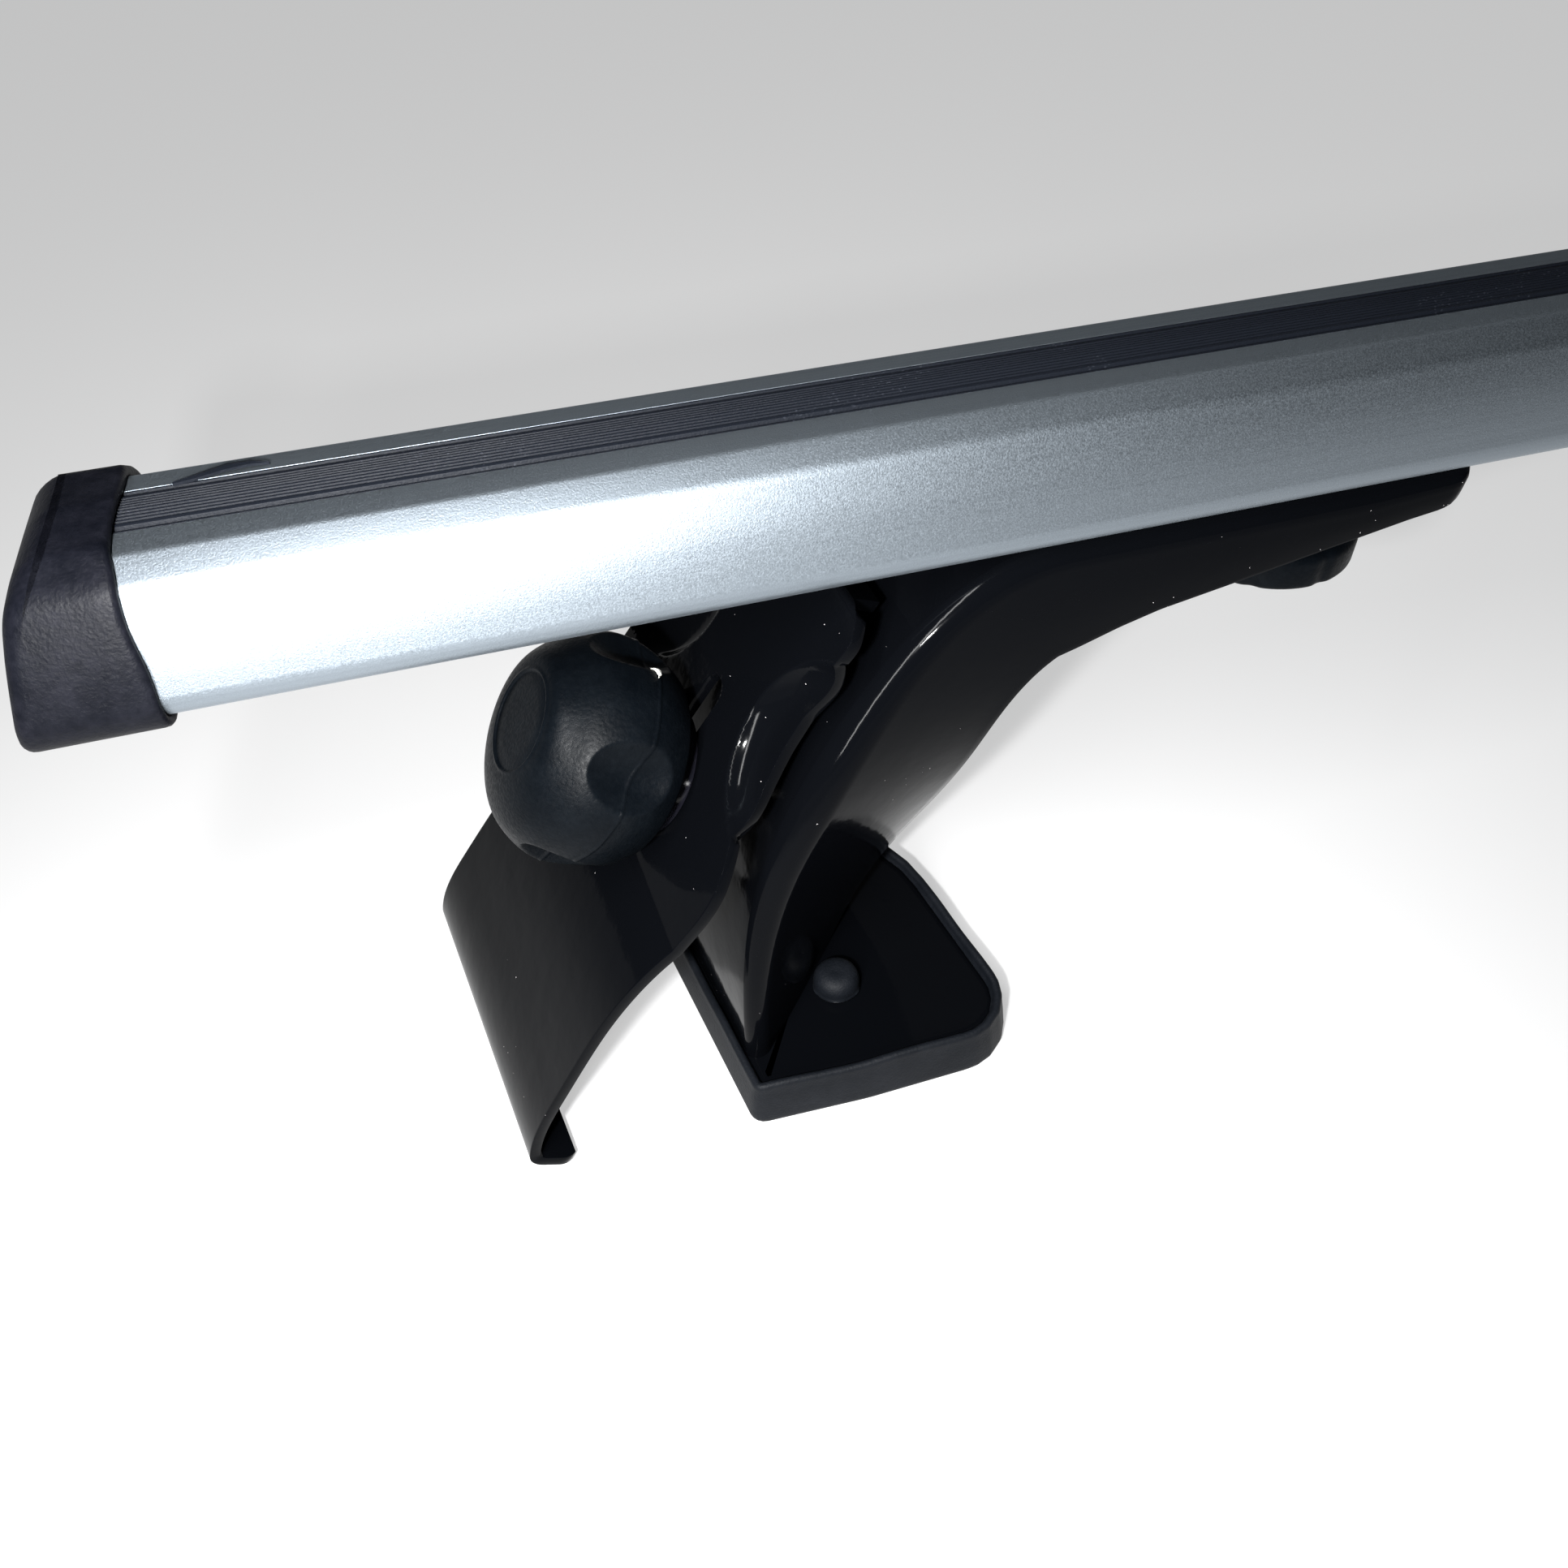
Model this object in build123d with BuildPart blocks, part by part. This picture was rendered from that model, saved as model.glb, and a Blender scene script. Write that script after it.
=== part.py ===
"""Roof rack crossbar: extruded bar, two end caps and a clamp foot near each end.

Millimetres, +Z up. X runs along the bar, from the left cap to the right one.
The origin is on the surface that the roof pads stand on, under the bar's middle.
Each foot is drawn once, at the left end, and mirrored for the right end.
"""
import os
from math import cos, radians, sin, sqrt

from build123d import *

# Whole bar
total_length = 1200.0
foot_height = 161.0
foot_reach = 475.0
bar_gap = 0.3

# Bar section
bar_width = 53.0
bar_height = 32.0
bar_wall = 2.2
bar_top_half = 14.5
bar_shoulder_half = 20.6
bar_shoulder_drop = 4.6
bar_side_bulge = 0.8
bar_bottom_radius = 6.0
bar_shoulder_radius = 4.5
top_slot_opening = 10.5
top_slot_lip = 1.8
top_slot_width = 18.0
top_slot_height = 6.5
bottom_slot_opening = 9.0
bottom_slot_lip = 2.4
bottom_slot_width = 19.0
bottom_slot_height = 6.5

# Rubber strip in the top slot
strip_width = 15.2
strip_depth = 2.2
strip_rib_count = 9
strip_rib_pitch = 1.1
strip_groove = 0.5
strip_foot_width = 13.0
strip_foot_height = 1.6

# End caps
cap_length = 29.0
cap_wall = 2.4
cap_end_radius = 1.5
cap_end_slant = 11.0

# Pressed bracket
sheet = 3.0
channel_half = 25.0
channel_length = 103.0
channel_end_depth = 11.5
channel_mid_depth = 21.5
channel_root_depth = 31.0
channel_end_radius = 9.0
neck_reach = 93.0
neck_station_count = 5
neck_inner_reach = 53.0
base_half = 42.5
base_inset = 2.0
base_edge_half = 4.0
base_skew = 9.0
base_lean = 5.6
base_fold_radius = 5.0
fold_radius = 8.0
boss_radius = 11.0

# Roof pad and base plate
pad_length = 85.0
pad_half_depth = 50.0
pad_height = 16.0
pad_floor = 10.0
pad_rim = 4.0
pad_overhang = 3.0
strap_overhang = 7.5
pad_near_radius = 18.0
pad_far_radius = 45.0
pad_outer_radius = 4.5
nipple_radius = 7.0
nipple_neck_radius = 4.5
nipple_rise = 7.0
nipple_inset = 36.0
nipple_spread = 28.6

# Clamp strap
strap_sheet = 3.0
strap_slope = 37.2
strap_top_half = 26.5
strap_hook_half = 48.0
strap_top_skew = 0.08
strap_hook_skew = 0.17
strap_corner = 6.0
strap_top_gap = 5.0
strap_flange_gap = 1.4
strap_flange_half = 14.0
strap_waist_half = 29.5
strap_waist_above = 15.0
strap_flare_below = 9.0
strap_elbow_below = 18.8
strap_slot_width = 9.0
strap_slot_above = 26.0
strap_slot_below = 8.0
dimple_above_stud = 36.5
dimple_radius = 24.4
dimple_inner_edge = 17.0
dimple_sphere = 60.0
hook_reach = 57.5
hook_height = 11.0
hook_curl = 5.6
hook_lip = 9.0

# Clamp stud, washer and knob
stud_on_neck = 0.597
clamp_gap = 17.0
boss_rise = 1.5
boss_height = 9.0
stud_radius = 4.0
stud_bore_gap = 0.05
stud_head_radius = 8.5
stud_head_height = 4.5
stud_end = 30.0
washer_radius = 17.5
washer_bore_gap = 0.4
washer_thick = 7.0
knob_radius = 29.5
knob_height = 35.0
knob_front_radius = 14.5
knob_back_radius = 23.0
knob_ring_radius = 13.0
knob_ring_groove = 0.8
knob_scallop_count = 5
knob_scallop_radius = 12.0
knob_scallop_depth = 4.2
knob_scallop_phase = 26.0
knob_scallop_height = 13.5
insert_radius = 7.5
insert_height = 14.0

# Bolt, washer and hand nut under the channel
bar_bolt_reach = 160.0
bolt_head_width = 15.5
bolt_head_height = 5.0
bolt_end = 26.0
bar_washer_radius = 11.0
bar_washer_thick = 2.0
nut_radius = 20.3
nut_disc_height = 9.0
nut_hub_radius = 11.0
nut_hub_height = 12.0
nut_scallop_count = 8
nut_scallop_radius = 4.0
nut_insert_radius = 6.0
nut_insert_height = 12.0

# Places worked out from the sizes above
half_length = total_length / 2
bar_bottom = foot_height
bar_top = foot_height + bar_height
bar_half = bar_width / 2
cap_mouth = half_length - cap_length
bar_end = half_length - cap_end_slant - cap_wall
foot_x = -foot_reach
channel_top = bar_bottom - bar_gap
neck_start = foot_x + neck_reach
channel_end = neck_start + channel_length
bolt_x = foot_x + bar_bolt_reach
plate_top = pad_floor + sheet


def smooth(fraction):
    """Ease from 0 to 1 with flat ends."""
    return fraction * fraction * (3 - 2 * fraction)


def between(start, end, fraction):
    """Value part way from start to end."""
    return start + (end - start) * fraction


# Bar outline, drawn around the middle of the bar's top face
with BuildSketch(Plane.YZ) as bar_outline:
    with BuildLine() as bar_line:
        crown = Polyline(
            (0, 0),
            (bar_top_half, -1.0),
            (bar_shoulder_half, -bar_shoulder_drop),
        )
        side_foot = (bar_half, -bar_height + bar_bottom_radius)
        side = SagittaArc(crown @ 1, side_foot, -bar_side_bulge)
        corner = Line(side @ 1, (bar_half - 1.5, -bar_height))
        Line(corner @ 1, (0, -bar_height))
        mirror(bar_line.line, about=Plane.YZ)
    make_face()
    bottom_corners = bar_outline.vertices().group_by(Axis.Y)[0]
    fillet(bottom_corners.filter_by(lambda v: abs(v.X) > 1), radius=bar_bottom_radius * 0.85)
    shoulders = bar_outline.vertices().filter_by(
        lambda v: abs(abs(v.X) - bar_shoulder_half) < 0.01
    )
    fillet(shoulders, radius=bar_shoulder_radius)


def section_at(x):
    """Plane across the bar at x, with its origin on the bar's top face."""
    return Plane(origin=(x, 0, bar_top), x_dir=(0, 1, 0), z_dir=(1, 0, 0))


top_slot_floor = strip_depth + top_slot_lip + top_slot_height
bottom_slot_roof = bar_height - bottom_slot_lip - bottom_slot_height
core_half = bottom_slot_width / 2 + bar_wall
core_top = top_slot_floor + bar_wall
core_bottom = bottom_slot_roof - bar_wall

# Hollow extrusion: skin, two side chambers, a middle chamber and two T slots
with BuildPart() as bar_extrusion:
    with BuildSketch(section_at(-bar_end)):
        add(bar_outline.sketch_local)
    extrude(amount=2 * bar_end)
    with BuildSketch(section_at(-bar_end)):
        offset(bar_outline.sketch_local, amount=-bar_wall)
        Rectangle(2 * core_half, 3 * bar_height, mode=Mode.SUBTRACT)
    extrude(amount=2 * bar_end, mode=Mode.SUBTRACT)
    with BuildSketch(section_at(-bar_end)):
        below = (Align.CENTER, Align.MAX)
        Rectangle(strip_width, strip_depth, align=below)
        Rectangle(top_slot_opening, strip_depth + top_slot_lip, align=below)
        with Locations((0, -strip_depth - top_slot_lip)):
            Rectangle(top_slot_width, top_slot_height, align=below)
        with Locations((0, -core_top)):
            Rectangle(2 * (core_half - bar_wall), core_bottom - core_top, align=below)
        with Locations((0, -bottom_slot_roof)):
            Rectangle(bottom_slot_width, bottom_slot_height, align=below)
            Rectangle(bottom_slot_opening, bar_height - bottom_slot_roof, align=below)
    extrude(amount=2 * bar_end, mode=Mode.SUBTRACT)

# Ribbed rubber strip that closes the top slot
with BuildPart() as slot_rubber_strip:
    with BuildSketch(section_at(-bar_end)):
        Rectangle(strip_width, strip_depth, align=below)
        Rectangle(top_slot_opening, strip_depth + top_slot_lip, align=below)
        with Locations((0, -strip_depth - top_slot_lip)):
            Rectangle(strip_foot_width, strip_foot_height, align=below)
        with GridLocations(strip_rib_pitch, 1, strip_rib_count + 1, 1):
            Rectangle(strip_groove, 2 * strip_groove, mode=Mode.SUBTRACT)
        add(bar_outline.sketch_local, mode=Mode.INTERSECT)
    extrude(amount=2 * bar_end)

# Rubber end cap, drawn at the left end: a sleeve with a closed, slightly tapered end
with BuildPart() as end_cap:
    with BuildSketch(section_at(-cap_mouth)):
        offset(bar_outline.sketch_local, amount=cap_wall)
    extrude(amount=-cap_length)
    with BuildSketch(Plane.XZ):
        with BuildLine():
            slant_low = (-half_length, bar_bottom - 2 * cap_wall)
            slant_high = (-half_length + cap_end_slant, bar_top + cap_wall)
            Polyline(slant_low, slant_high, (-half_length - 1, bar_top + cap_wall), close=True)
        make_face()
    extrude(amount=bar_width, both=True, mode=Mode.SUBTRACT)
    fillet(end_cap.faces().sort_by(Axis.X)[0].edges(), radius=cap_end_radius)
    with BuildSketch(section_at(-cap_mouth)):
        add(bar_outline.sketch_local)
    extrude(amount=-(bar_end - cap_mouth), mode=Mode.SUBTRACT)

# Side view of the neck: the line of its outer face and the line of its free edges
neck_height = channel_top - plate_top
with BuildLine(Plane.XZ) as web_line:
    Spline(
        (neck_start, channel_top),
        (foot_x + 0.41 * neck_reach, plate_top + 0.815 * neck_height),
        (foot_x + 0.125 * neck_reach, plate_top + 0.525 * neck_height),
        (foot_x + base_inset, plate_top - sheet / 2),
        tangents=((-1, 0), (0, -1)),
    )
with BuildLine(Plane.XZ) as edge_line:
    Spline(
        (neck_start, channel_top - channel_root_depth),
        (foot_x + 0.8 * neck_reach, plate_top + 0.56 * neck_height),
        (foot_x + 0.645 * neck_reach, plate_top + 0.22 * neck_height),
        (foot_x + neck_inner_reach, plate_top - sheet / 2),
        tangents=((-1, -0.3), (-0.5, -1)),
    )


def trough_section(plane, web_half, edge_half, depth, inset, run_out, turned=0.0):
    """Cross-section of the pressed trough; an inset makes the hollow inside the sheet."""
    lean = (web_half - edge_half) / depth
    skin = inset * sqrt(1 + lean * lean)
    bottom = depth + run_out
    top_half = web_half - lean * inset - skin
    bottom_half = max(edge_half - lean * run_out - skin, 0.8)
    top_shift = base_lean * turned * inset / depth
    low_shift = base_lean * turned * bottom / depth
    fold = between(fold_radius, base_fold_radius, turned)
    with BuildSketch(plane) as section:
        with BuildLine():
            Polyline(
                (top_shift - top_half, inset),
                (top_shift + top_half, inset),
                (low_shift + bottom_half, bottom),
                (low_shift - bottom_half, bottom),
                close=True,
            )
        make_face()
        fillet(section.vertices().group_by(Axis.Y)[0], radius=fold - inset)
    return section.sketch


def neck_section(fraction, inset, run_out):
    """Section of the neck, spanned from the outer face to the free edges."""
    web_point = web_line.line @ fraction
    edge_point = edge_line.line @ fraction
    turn = base_skew * smooth(fraction)
    inward = (edge_point - web_point).normalized().rotate(Axis.Z, turn)
    across = Vector(0, 1, 0).rotate(Axis.Z, turn)
    plane = Plane(origin=web_point, x_dir=across, z_dir=across.cross(inward))
    web_half = between(channel_half, base_half, smooth(fraction))
    edge_half = between(channel_half - 1, base_edge_half, smooth(fraction))
    depth = (edge_point - web_point).length
    return trough_section(plane, web_half, edge_half, depth, inset, run_out, smooth(fraction))


def channel_section(x, depth, inset, run_out):
    """Section of the straight channel under the bar."""
    plane = Plane(origin=(x, 0, channel_top), x_dir=(0, 1, 0), z_dir=(-1, 0, 0))
    return trough_section(plane, channel_half, channel_half - 1, depth, inset, run_out)


channel_depths = (
    (channel_end, channel_end_depth),
    (between(neck_start, channel_end, 0.4), channel_mid_depth),
    (neck_start, channel_root_depth),
)
neck_fractions = [station / (neck_station_count - 1) for station in range(neck_station_count)]

# Clamp axis: square to the strap's upper half, through the neck
clamp_yaw = strap_top_skew
out_x = -cos(radians(strap_slope))
out_z = sin(radians(strap_slope))
clamp_out = Vector(out_x, out_x * clamp_yaw, out_z).normalized()
clamp_across = Vector(-clamp_yaw, 1, 0).normalized()
clamp_up = clamp_across.cross(clamp_out)
stud_foot = web_line.line @ stud_on_neck
clamp_point = stud_foot + clamp_out * clamp_gap
clamp_plane = Plane(origin=clamp_point, x_dir=clamp_across * -1, z_dir=clamp_out)
clamp_side = Plane(origin=clamp_point, x_dir=clamp_up, z_dir=clamp_up.cross(clamp_out))
clamp_axis = Axis(clamp_point, clamp_out)


def pad_outline(inset):
    """Plan of the roof pad, skewed like the hook; inset steps inside the rim."""
    skew = pad_half_depth * strap_hook_skew
    left = foot_x - pad_overhang
    with BuildSketch() as outline:
        with BuildLine():
            Polyline(
                (left + skew, -pad_half_depth),
                (left + skew + pad_length, -pad_half_depth),
                (left - skew + pad_length, pad_half_depth),
                (left - skew, pad_half_depth),
                close=True,
            )
        make_face()
        right_corners = outline.vertices().sort_by(Axis.X)[2:]
        fillet(right_corners.sort_by(Axis.Y)[0], radius=pad_near_radius)
        far_right = outline.vertices().sort_by(Axis.Y)[-2:].sort_by(Axis.X)[-1]
        fillet(far_right, radius=pad_far_radius)
        near_left = outline.vertices().sort_by(Axis.Y)[:2].sort_by(Axis.X)[0]
        fillet(near_left, radius=pad_outer_radius)
        far_left = outline.vertices().sort_by(Axis.Y)[-2:].sort_by(Axis.X)[0]
        fillet(far_left, radius=pad_outer_radius)
        if inset:
            offset(amount=-inset, mode=Mode.REPLACE)
    return outline.sketch


# The two rubber nipples stand beside the neck, one at each side of its skewed middle line
skew_angle = radians(base_skew)
nipple_lean = base_lean * nipple_inset / neck_inner_reach
nipple_places = [
    (
        foot_x + nipple_inset * cos(skew_angle) - across * sin(skew_angle),
        nipple_inset * sin(skew_angle) + across * cos(skew_angle),
    )
    for across in (nipple_lean - nipple_spread, nipple_lean + nipple_spread)
]

# Pressed and welded bracket
with BuildPart() as foot_bracket:
    loft([channel_section(x, depth, 0, 0) for x, depth in channel_depths])
    loft([neck_section(fraction, 0, 0) for fraction in neck_fractions])
    loft([channel_section(x, depth, sheet, 2) for x, depth in channel_depths], mode=Mode.SUBTRACT)
    loft([neck_section(fraction, sheet, 2) for fraction in neck_fractions], mode=Mode.SUBTRACT)
    with BuildSketch(Plane.XZ):
        corner_x = channel_end - channel_end_radius
        corner_z = channel_top - channel_end_depth + channel_end_radius
        with Locations((corner_x, corner_z)):
            Rectangle(2 * channel_end_radius, 2 * channel_end_radius, align=(Align.MIN, Align.MAX))
            Circle(channel_end_radius, mode=Mode.SUBTRACT)
    extrude(amount=2 * channel_half, both=True, mode=Mode.SUBTRACT)
    with BuildSketch(clamp_plane.offset(boss_rise - clamp_gap)):
        Circle(boss_radius)
    extrude(amount=-boss_height)
    with BuildSketch(Plane.XY.offset(pad_floor)):
        add(pad_outline(pad_rim))
    extrude(amount=sheet)
    with BuildSketch(Plane.XY.offset(pad_floor)):
        with Locations(*nipple_places):
            Circle(nipple_neck_radius)
    extrude(amount=sheet, mode=Mode.SUBTRACT)
    with BuildSketch(Plane.XY.offset(channel_top)):
        with Locations((bolt_x, 0)):
            Circle(stud_radius + stud_bore_gap)
    extrude(amount=-2 * sheet, mode=Mode.SUBTRACT)
    with BuildSketch(clamp_plane.offset(2 * boss_rise - clamp_gap)):
        Circle(stud_radius + stud_bore_gap)
    extrude(amount=-2 * boss_height, mode=Mode.SUBTRACT)

# Rubber roof pad: a tray whose rim holds the base plate
with BuildPart() as foot_pad:
    with BuildSketch():
        add(pad_outline(0))
    extrude(amount=pad_height)
    fillet(foot_pad.edges().group_by(Axis.Z)[0], radius=1.5)
    with BuildSketch(Plane.XY.offset(pad_floor)):
        add(pad_outline(pad_rim))
    extrude(amount=pad_height, mode=Mode.SUBTRACT)
    with BuildSketch(Plane.XY.offset(pad_floor)):
        with Locations(*nipple_places):
            Circle(nipple_neck_radius)
    extrude(amount=sheet)
    with Locations(*[(x, y, plate_top) for x, y in nipple_places]):
        Cylinder(nipple_radius, nipple_rise, align=(Align.CENTER, Align.CENTER, Align.MIN))
    nipple_tops = foot_pad.faces().filter_by(Axis.Z).group_by(Axis.Z)[-1]
    fillet(nipple_tops.edges(), radius=nipple_radius * 0.8)

# Side view of the strap: flange, straight upper half, bowed lower half and curled lip
slope_x = sin(radians(strap_slope))
slope_z = cos(radians(strap_slope))
strap_above_stud = (channel_top - strap_top_gap - clamp_point.Z) / slope_z
strap_top_x = clamp_point.X + strap_above_stud * slope_x
strap_top_z = clamp_point.Z + strap_above_stud * slope_z
strap_top = Vertex(strap_top_x, 0, strap_top_z)
strap_flange = web_line.line.distance_to(strap_top) - strap_flange_gap


def strap_side(y):
    """The strap's sheet in the plane at y; its edges are skewed more towards the hook."""
    top_shift = -strap_top_skew * y
    hook_shift = -strap_hook_skew * y
    corner = (strap_top_x + top_shift, strap_top_z)
    flange_tip = (corner[0] + strap_flange * slope_z, corner[1] - strap_flange * slope_x)
    elbow_x = clamp_point.X - strap_elbow_below * slope_x + top_shift
    elbow_z = clamp_point.Z - strap_elbow_below * slope_z
    hook_x = foot_x - hook_reach - strap_overhang + hook_shift
    bow_x = between(elbow_x, hook_x, 0.76)
    bow_z = between(elbow_z, hook_height, 0.66)
    with BuildSketch(Plane.XZ.offset(-y)) as profile:
        with BuildLine() as profile_line:
            Polyline(flange_tip, corner, (elbow_x, elbow_z))
            bow = Spline(
                (elbow_x, elbow_z),
                (bow_x, bow_z),
                (hook_x, hook_height),
                tangents=((-0.75, -0.6), (-0.2, -1)),
            )
            curl_end = (hook_x + hook_curl / 2, hook_height - hook_curl)
            curl = TangentArc(bow @ 1, curl_end, tangent=bow % 1)
            Line(curl @ 1, curl @ 1 + (curl % 1) * hook_lip)
            offset(profile_line.line, amount=strap_sheet, side=Side.LEFT)
        make_face()
    return profile.sketch


# Half-moon dimples: parts of a pressed sphere, one at each side edge of the strap
circle_rise = sqrt(dimple_sphere**2 - dimple_radius**2)
bowl_places = [
    clamp_point
    + clamp_up * dimple_above_stud
    + clamp_across * (side * (dimple_inner_edge + dimple_radius))
    for side in (-1, 1)
]

# Clamp strap: bent sheet, narrow at the top and wide at the hook
with BuildPart() as clamp_strap:
    loft([strap_side(-strap_hook_half - 4), strap_side(strap_hook_half + 4)], ruled=True)
    with Locations(*[place + clamp_out * circle_rise for place in bowl_places]):
        Sphere(dimple_sphere, mode=Mode.SUBTRACT)
    for place in bowl_places:
        bowl_plane = Plane(origin=place, x_dir=clamp_up, z_dir=clamp_up.cross(clamp_out))
        with BuildSketch(bowl_plane):
            with Locations((0, circle_rise)):
                Circle(dimple_sphere + strap_sheet)
                Circle(dimple_sphere, mode=Mode.SUBTRACT)
            Rectangle(
                2 * dimple_sphere,
                2 * dimple_sphere,
                align=(Align.MIN, Align.MAX),
                mode=Mode.INTERSECT,
            )
        revolve(axis=Axis(place, clamp_out))
    waist_z = clamp_point.Z + strap_waist_above
    flare_z = clamp_point.Z - strap_flare_below
    with BuildSketch(Plane.YZ.offset(foot_x)) as strap_front:
        with BuildLine() as strap_edge:
            Polyline(
                (0, channel_top),
                (strap_top_half - 2 * strap_corner, channel_top),
                (strap_top_half, strap_top_z - strap_corner),
                (strap_waist_half, waist_z),
                (strap_hook_half - 1.5, flare_z),
                (strap_hook_half, 0),
                (0, 0),
            )
            mirror(strap_edge.line, about=Plane.YZ)
        make_face()
        side_corners = strap_front.vertices().filter_by(lambda v: abs(v.Y) > 1)
        side_corners = side_corners.filter_by(lambda v: v.Y < strap_top_z - 2 * strap_corner)
        fillet(side_corners, radius=2 * strap_corner)
    extrude(amount=2 * hook_reach, both=True, mode=Mode.INTERSECT)
    for side in (-1, 1):
        flange_corner = clamp_up * strap_above_stud - clamp_out * 1.05 * strap_sheet
        flange_side = clamp_across * (side * strap_flange_half)
        flange_plane = Plane(
            origin=clamp_point + flange_corner + flange_side,
            x_dir=clamp_across * side,
            z_dir=clamp_out,
        )
        with BuildSketch(flange_plane):
            Rectangle(strap_hook_half, 4 * strap_sheet, align=(Align.MIN, Align.CENTER))
        extrude(amount=-2 * clamp_gap, mode=Mode.SUBTRACT)
    with BuildSketch(clamp_plane):
        with Locations((0, (strap_slot_above - strap_slot_below) / 2)):
            SlotCenterToCenter(
                strap_slot_above + strap_slot_below, strap_slot_width, rotation=90
            )
    extrude(amount=strap_sheet * 2, both=True, mode=Mode.SUBTRACT)

# Coach bolt through the neck, its head seated on the raised boss inside
head_seat = boss_rise - clamp_gap - boss_height
with BuildPart() as clamp_stud:
    with BuildSketch(clamp_plane.offset(head_seat)):
        Circle(stud_radius)
    extrude(amount=stud_end - head_seat)
    chamfer(clamp_stud.edges(), length=0.6)
    with BuildSketch(clamp_plane.offset(head_seat)):
        Circle(stud_head_radius)
    extrude(amount=-stud_head_height)
    fillet(clamp_stud.faces().filter_by(clamp_plane).sort_by(clamp_axis)[0].edges(), radius=3.0)

# Glossy collar between the strap and the knob
with BuildPart() as clamp_washer:
    with BuildSketch(clamp_plane):
        Circle(washer_radius)
        Circle(stud_radius + washer_bore_gap, mode=Mode.SUBTRACT)
    extrude(amount=washer_thick)
    front_circles = clamp_washer.edges().filter_by(GeomType.CIRCLE).group_by(clamp_axis)[-1]
    fillet(front_circles.sort_by(SortBy.RADIUS)[-1], radius=1.2)

# Hand knob: turned body with finger scallops and a shallow ring on its face
knob_base = washer_thick
knob_face = knob_base + knob_height
with BuildPart() as clamp_knob:
    with BuildSketch(clamp_side):
        with BuildLine():
            back = Line((0, knob_base), (knob_back_radius, knob_base))
            flank = ThreePointArc(
                back @ 1,
                (knob_radius, knob_base + 0.42 * knob_height),
                (knob_front_radius + 8, knob_face - 5),
            )
            brow = TangentArc(flank @ 1, (knob_front_radius, knob_face - 1), tangent=flank % 1)
            Line(brow @ 1, (0, knob_face))
            Line((0, knob_face), (0, knob_base))
        make_face()
    revolve(axis=clamp_axis)
    scallop_plane = clamp_plane.offset(knob_base + knob_scallop_height)
    with Locations(scallop_plane):
        with PolarLocations(
            knob_radius - knob_scallop_depth + knob_scallop_radius,
            knob_scallop_count,
            start_angle=knob_scallop_phase,
        ):
            Sphere(knob_scallop_radius, mode=Mode.SUBTRACT)
    with BuildSketch(clamp_plane.offset(knob_base)):
        Circle(insert_radius)
    extrude(amount=insert_height, mode=Mode.SUBTRACT)
    with BuildSketch(clamp_plane.offset(knob_base)):
        Circle(stud_radius + washer_bore_gap)
    extrude(amount=stud_end, mode=Mode.SUBTRACT)
    with BuildSketch(clamp_plane.offset(knob_face - 2)):
        Circle(knob_ring_radius)
        Circle(knob_ring_radius - knob_ring_groove, mode=Mode.SUBTRACT)
    extrude(amount=3, mode=Mode.SUBTRACT)

# Threaded insert moulded into the knob
with BuildPart() as knob_insert:
    with BuildSketch(clamp_plane.offset(knob_base)):
        Circle(insert_radius)
        Circle(stud_radius + stud_bore_gap, mode=Mode.SUBTRACT)
    extrude(amount=insert_height)

# Bolt that stands in the slot under the bar and passes through the channel
bolt_head_z = bar_bottom + bottom_slot_lip + 0.5
bolt_low = channel_top - bolt_end
with BuildPart() as bar_bolt:
    with BuildSketch(Plane.XY.offset(bolt_low)):
        with Locations((bolt_x, 0)):
            Circle(stud_radius)
    extrude(amount=bolt_head_z - bolt_low)
    with BuildSketch(Plane.XY.offset(bolt_head_z)):
        with Locations((bolt_x, 0)):
            RectangleRounded(bolt_head_width, bolt_head_width, 1.5)
    extrude(amount=bolt_head_height)

# Washer under the channel
washer_top = channel_top - sheet
with BuildPart() as bar_washer:
    with BuildSketch(Plane.XY.offset(washer_top)):
        with Locations((bolt_x, 0)):
            Circle(bar_washer_radius)
            Circle(stud_radius + washer_bore_gap, mode=Mode.SUBTRACT)
    extrude(amount=-bar_washer_thick)

# Flat hand nut under the channel: a hub and a notched disc
nut_top = washer_top - bar_washer_thick
nut_bottom = nut_top - nut_hub_height - nut_disc_height
with BuildPart() as bar_nut:
    with BuildSketch(Plane.XY.offset(nut_bottom)):
        with Locations((bolt_x, 0)):
            Circle(nut_radius)
    extrude(amount=nut_disc_height)
    fillet(bar_nut.edges(), radius=2.5)
    with Locations((bolt_x, 0, nut_bottom)):
        with PolarLocations(nut_radius + 0.4 * nut_scallop_radius, nut_scallop_count):
            Cylinder(
                nut_scallop_radius,
                3 * nut_disc_height,
                mode=Mode.SUBTRACT,
            )
    with BuildSketch(Plane.XY.offset(nut_top)):
        with Locations((bolt_x, 0)):
            Circle(nut_hub_radius)
    extrude(amount=-nut_hub_height - 1)
    with BuildSketch(Plane.XY.offset(nut_top)):
        with Locations((bolt_x, 0)):
            Circle(nut_insert_radius)
    extrude(amount=-nut_insert_height, mode=Mode.SUBTRACT)
    with BuildSketch(Plane.XY.offset(nut_top)):
        with Locations((bolt_x, 0)):
            Circle(stud_radius + washer_bore_gap)
    extrude(amount=-(nut_top - bolt_low + 1), mode=Mode.SUBTRACT)

# Threaded insert in the hand nut
with BuildPart() as nut_insert:
    with BuildSketch(Plane.XY.offset(nut_top)):
        with Locations((bolt_x, 0)):
            Circle(nut_insert_radius)
            Circle(stud_radius + stud_bore_gap, mode=Mode.SUBTRACT)
    extrude(amount=-nut_insert_height)

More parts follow.
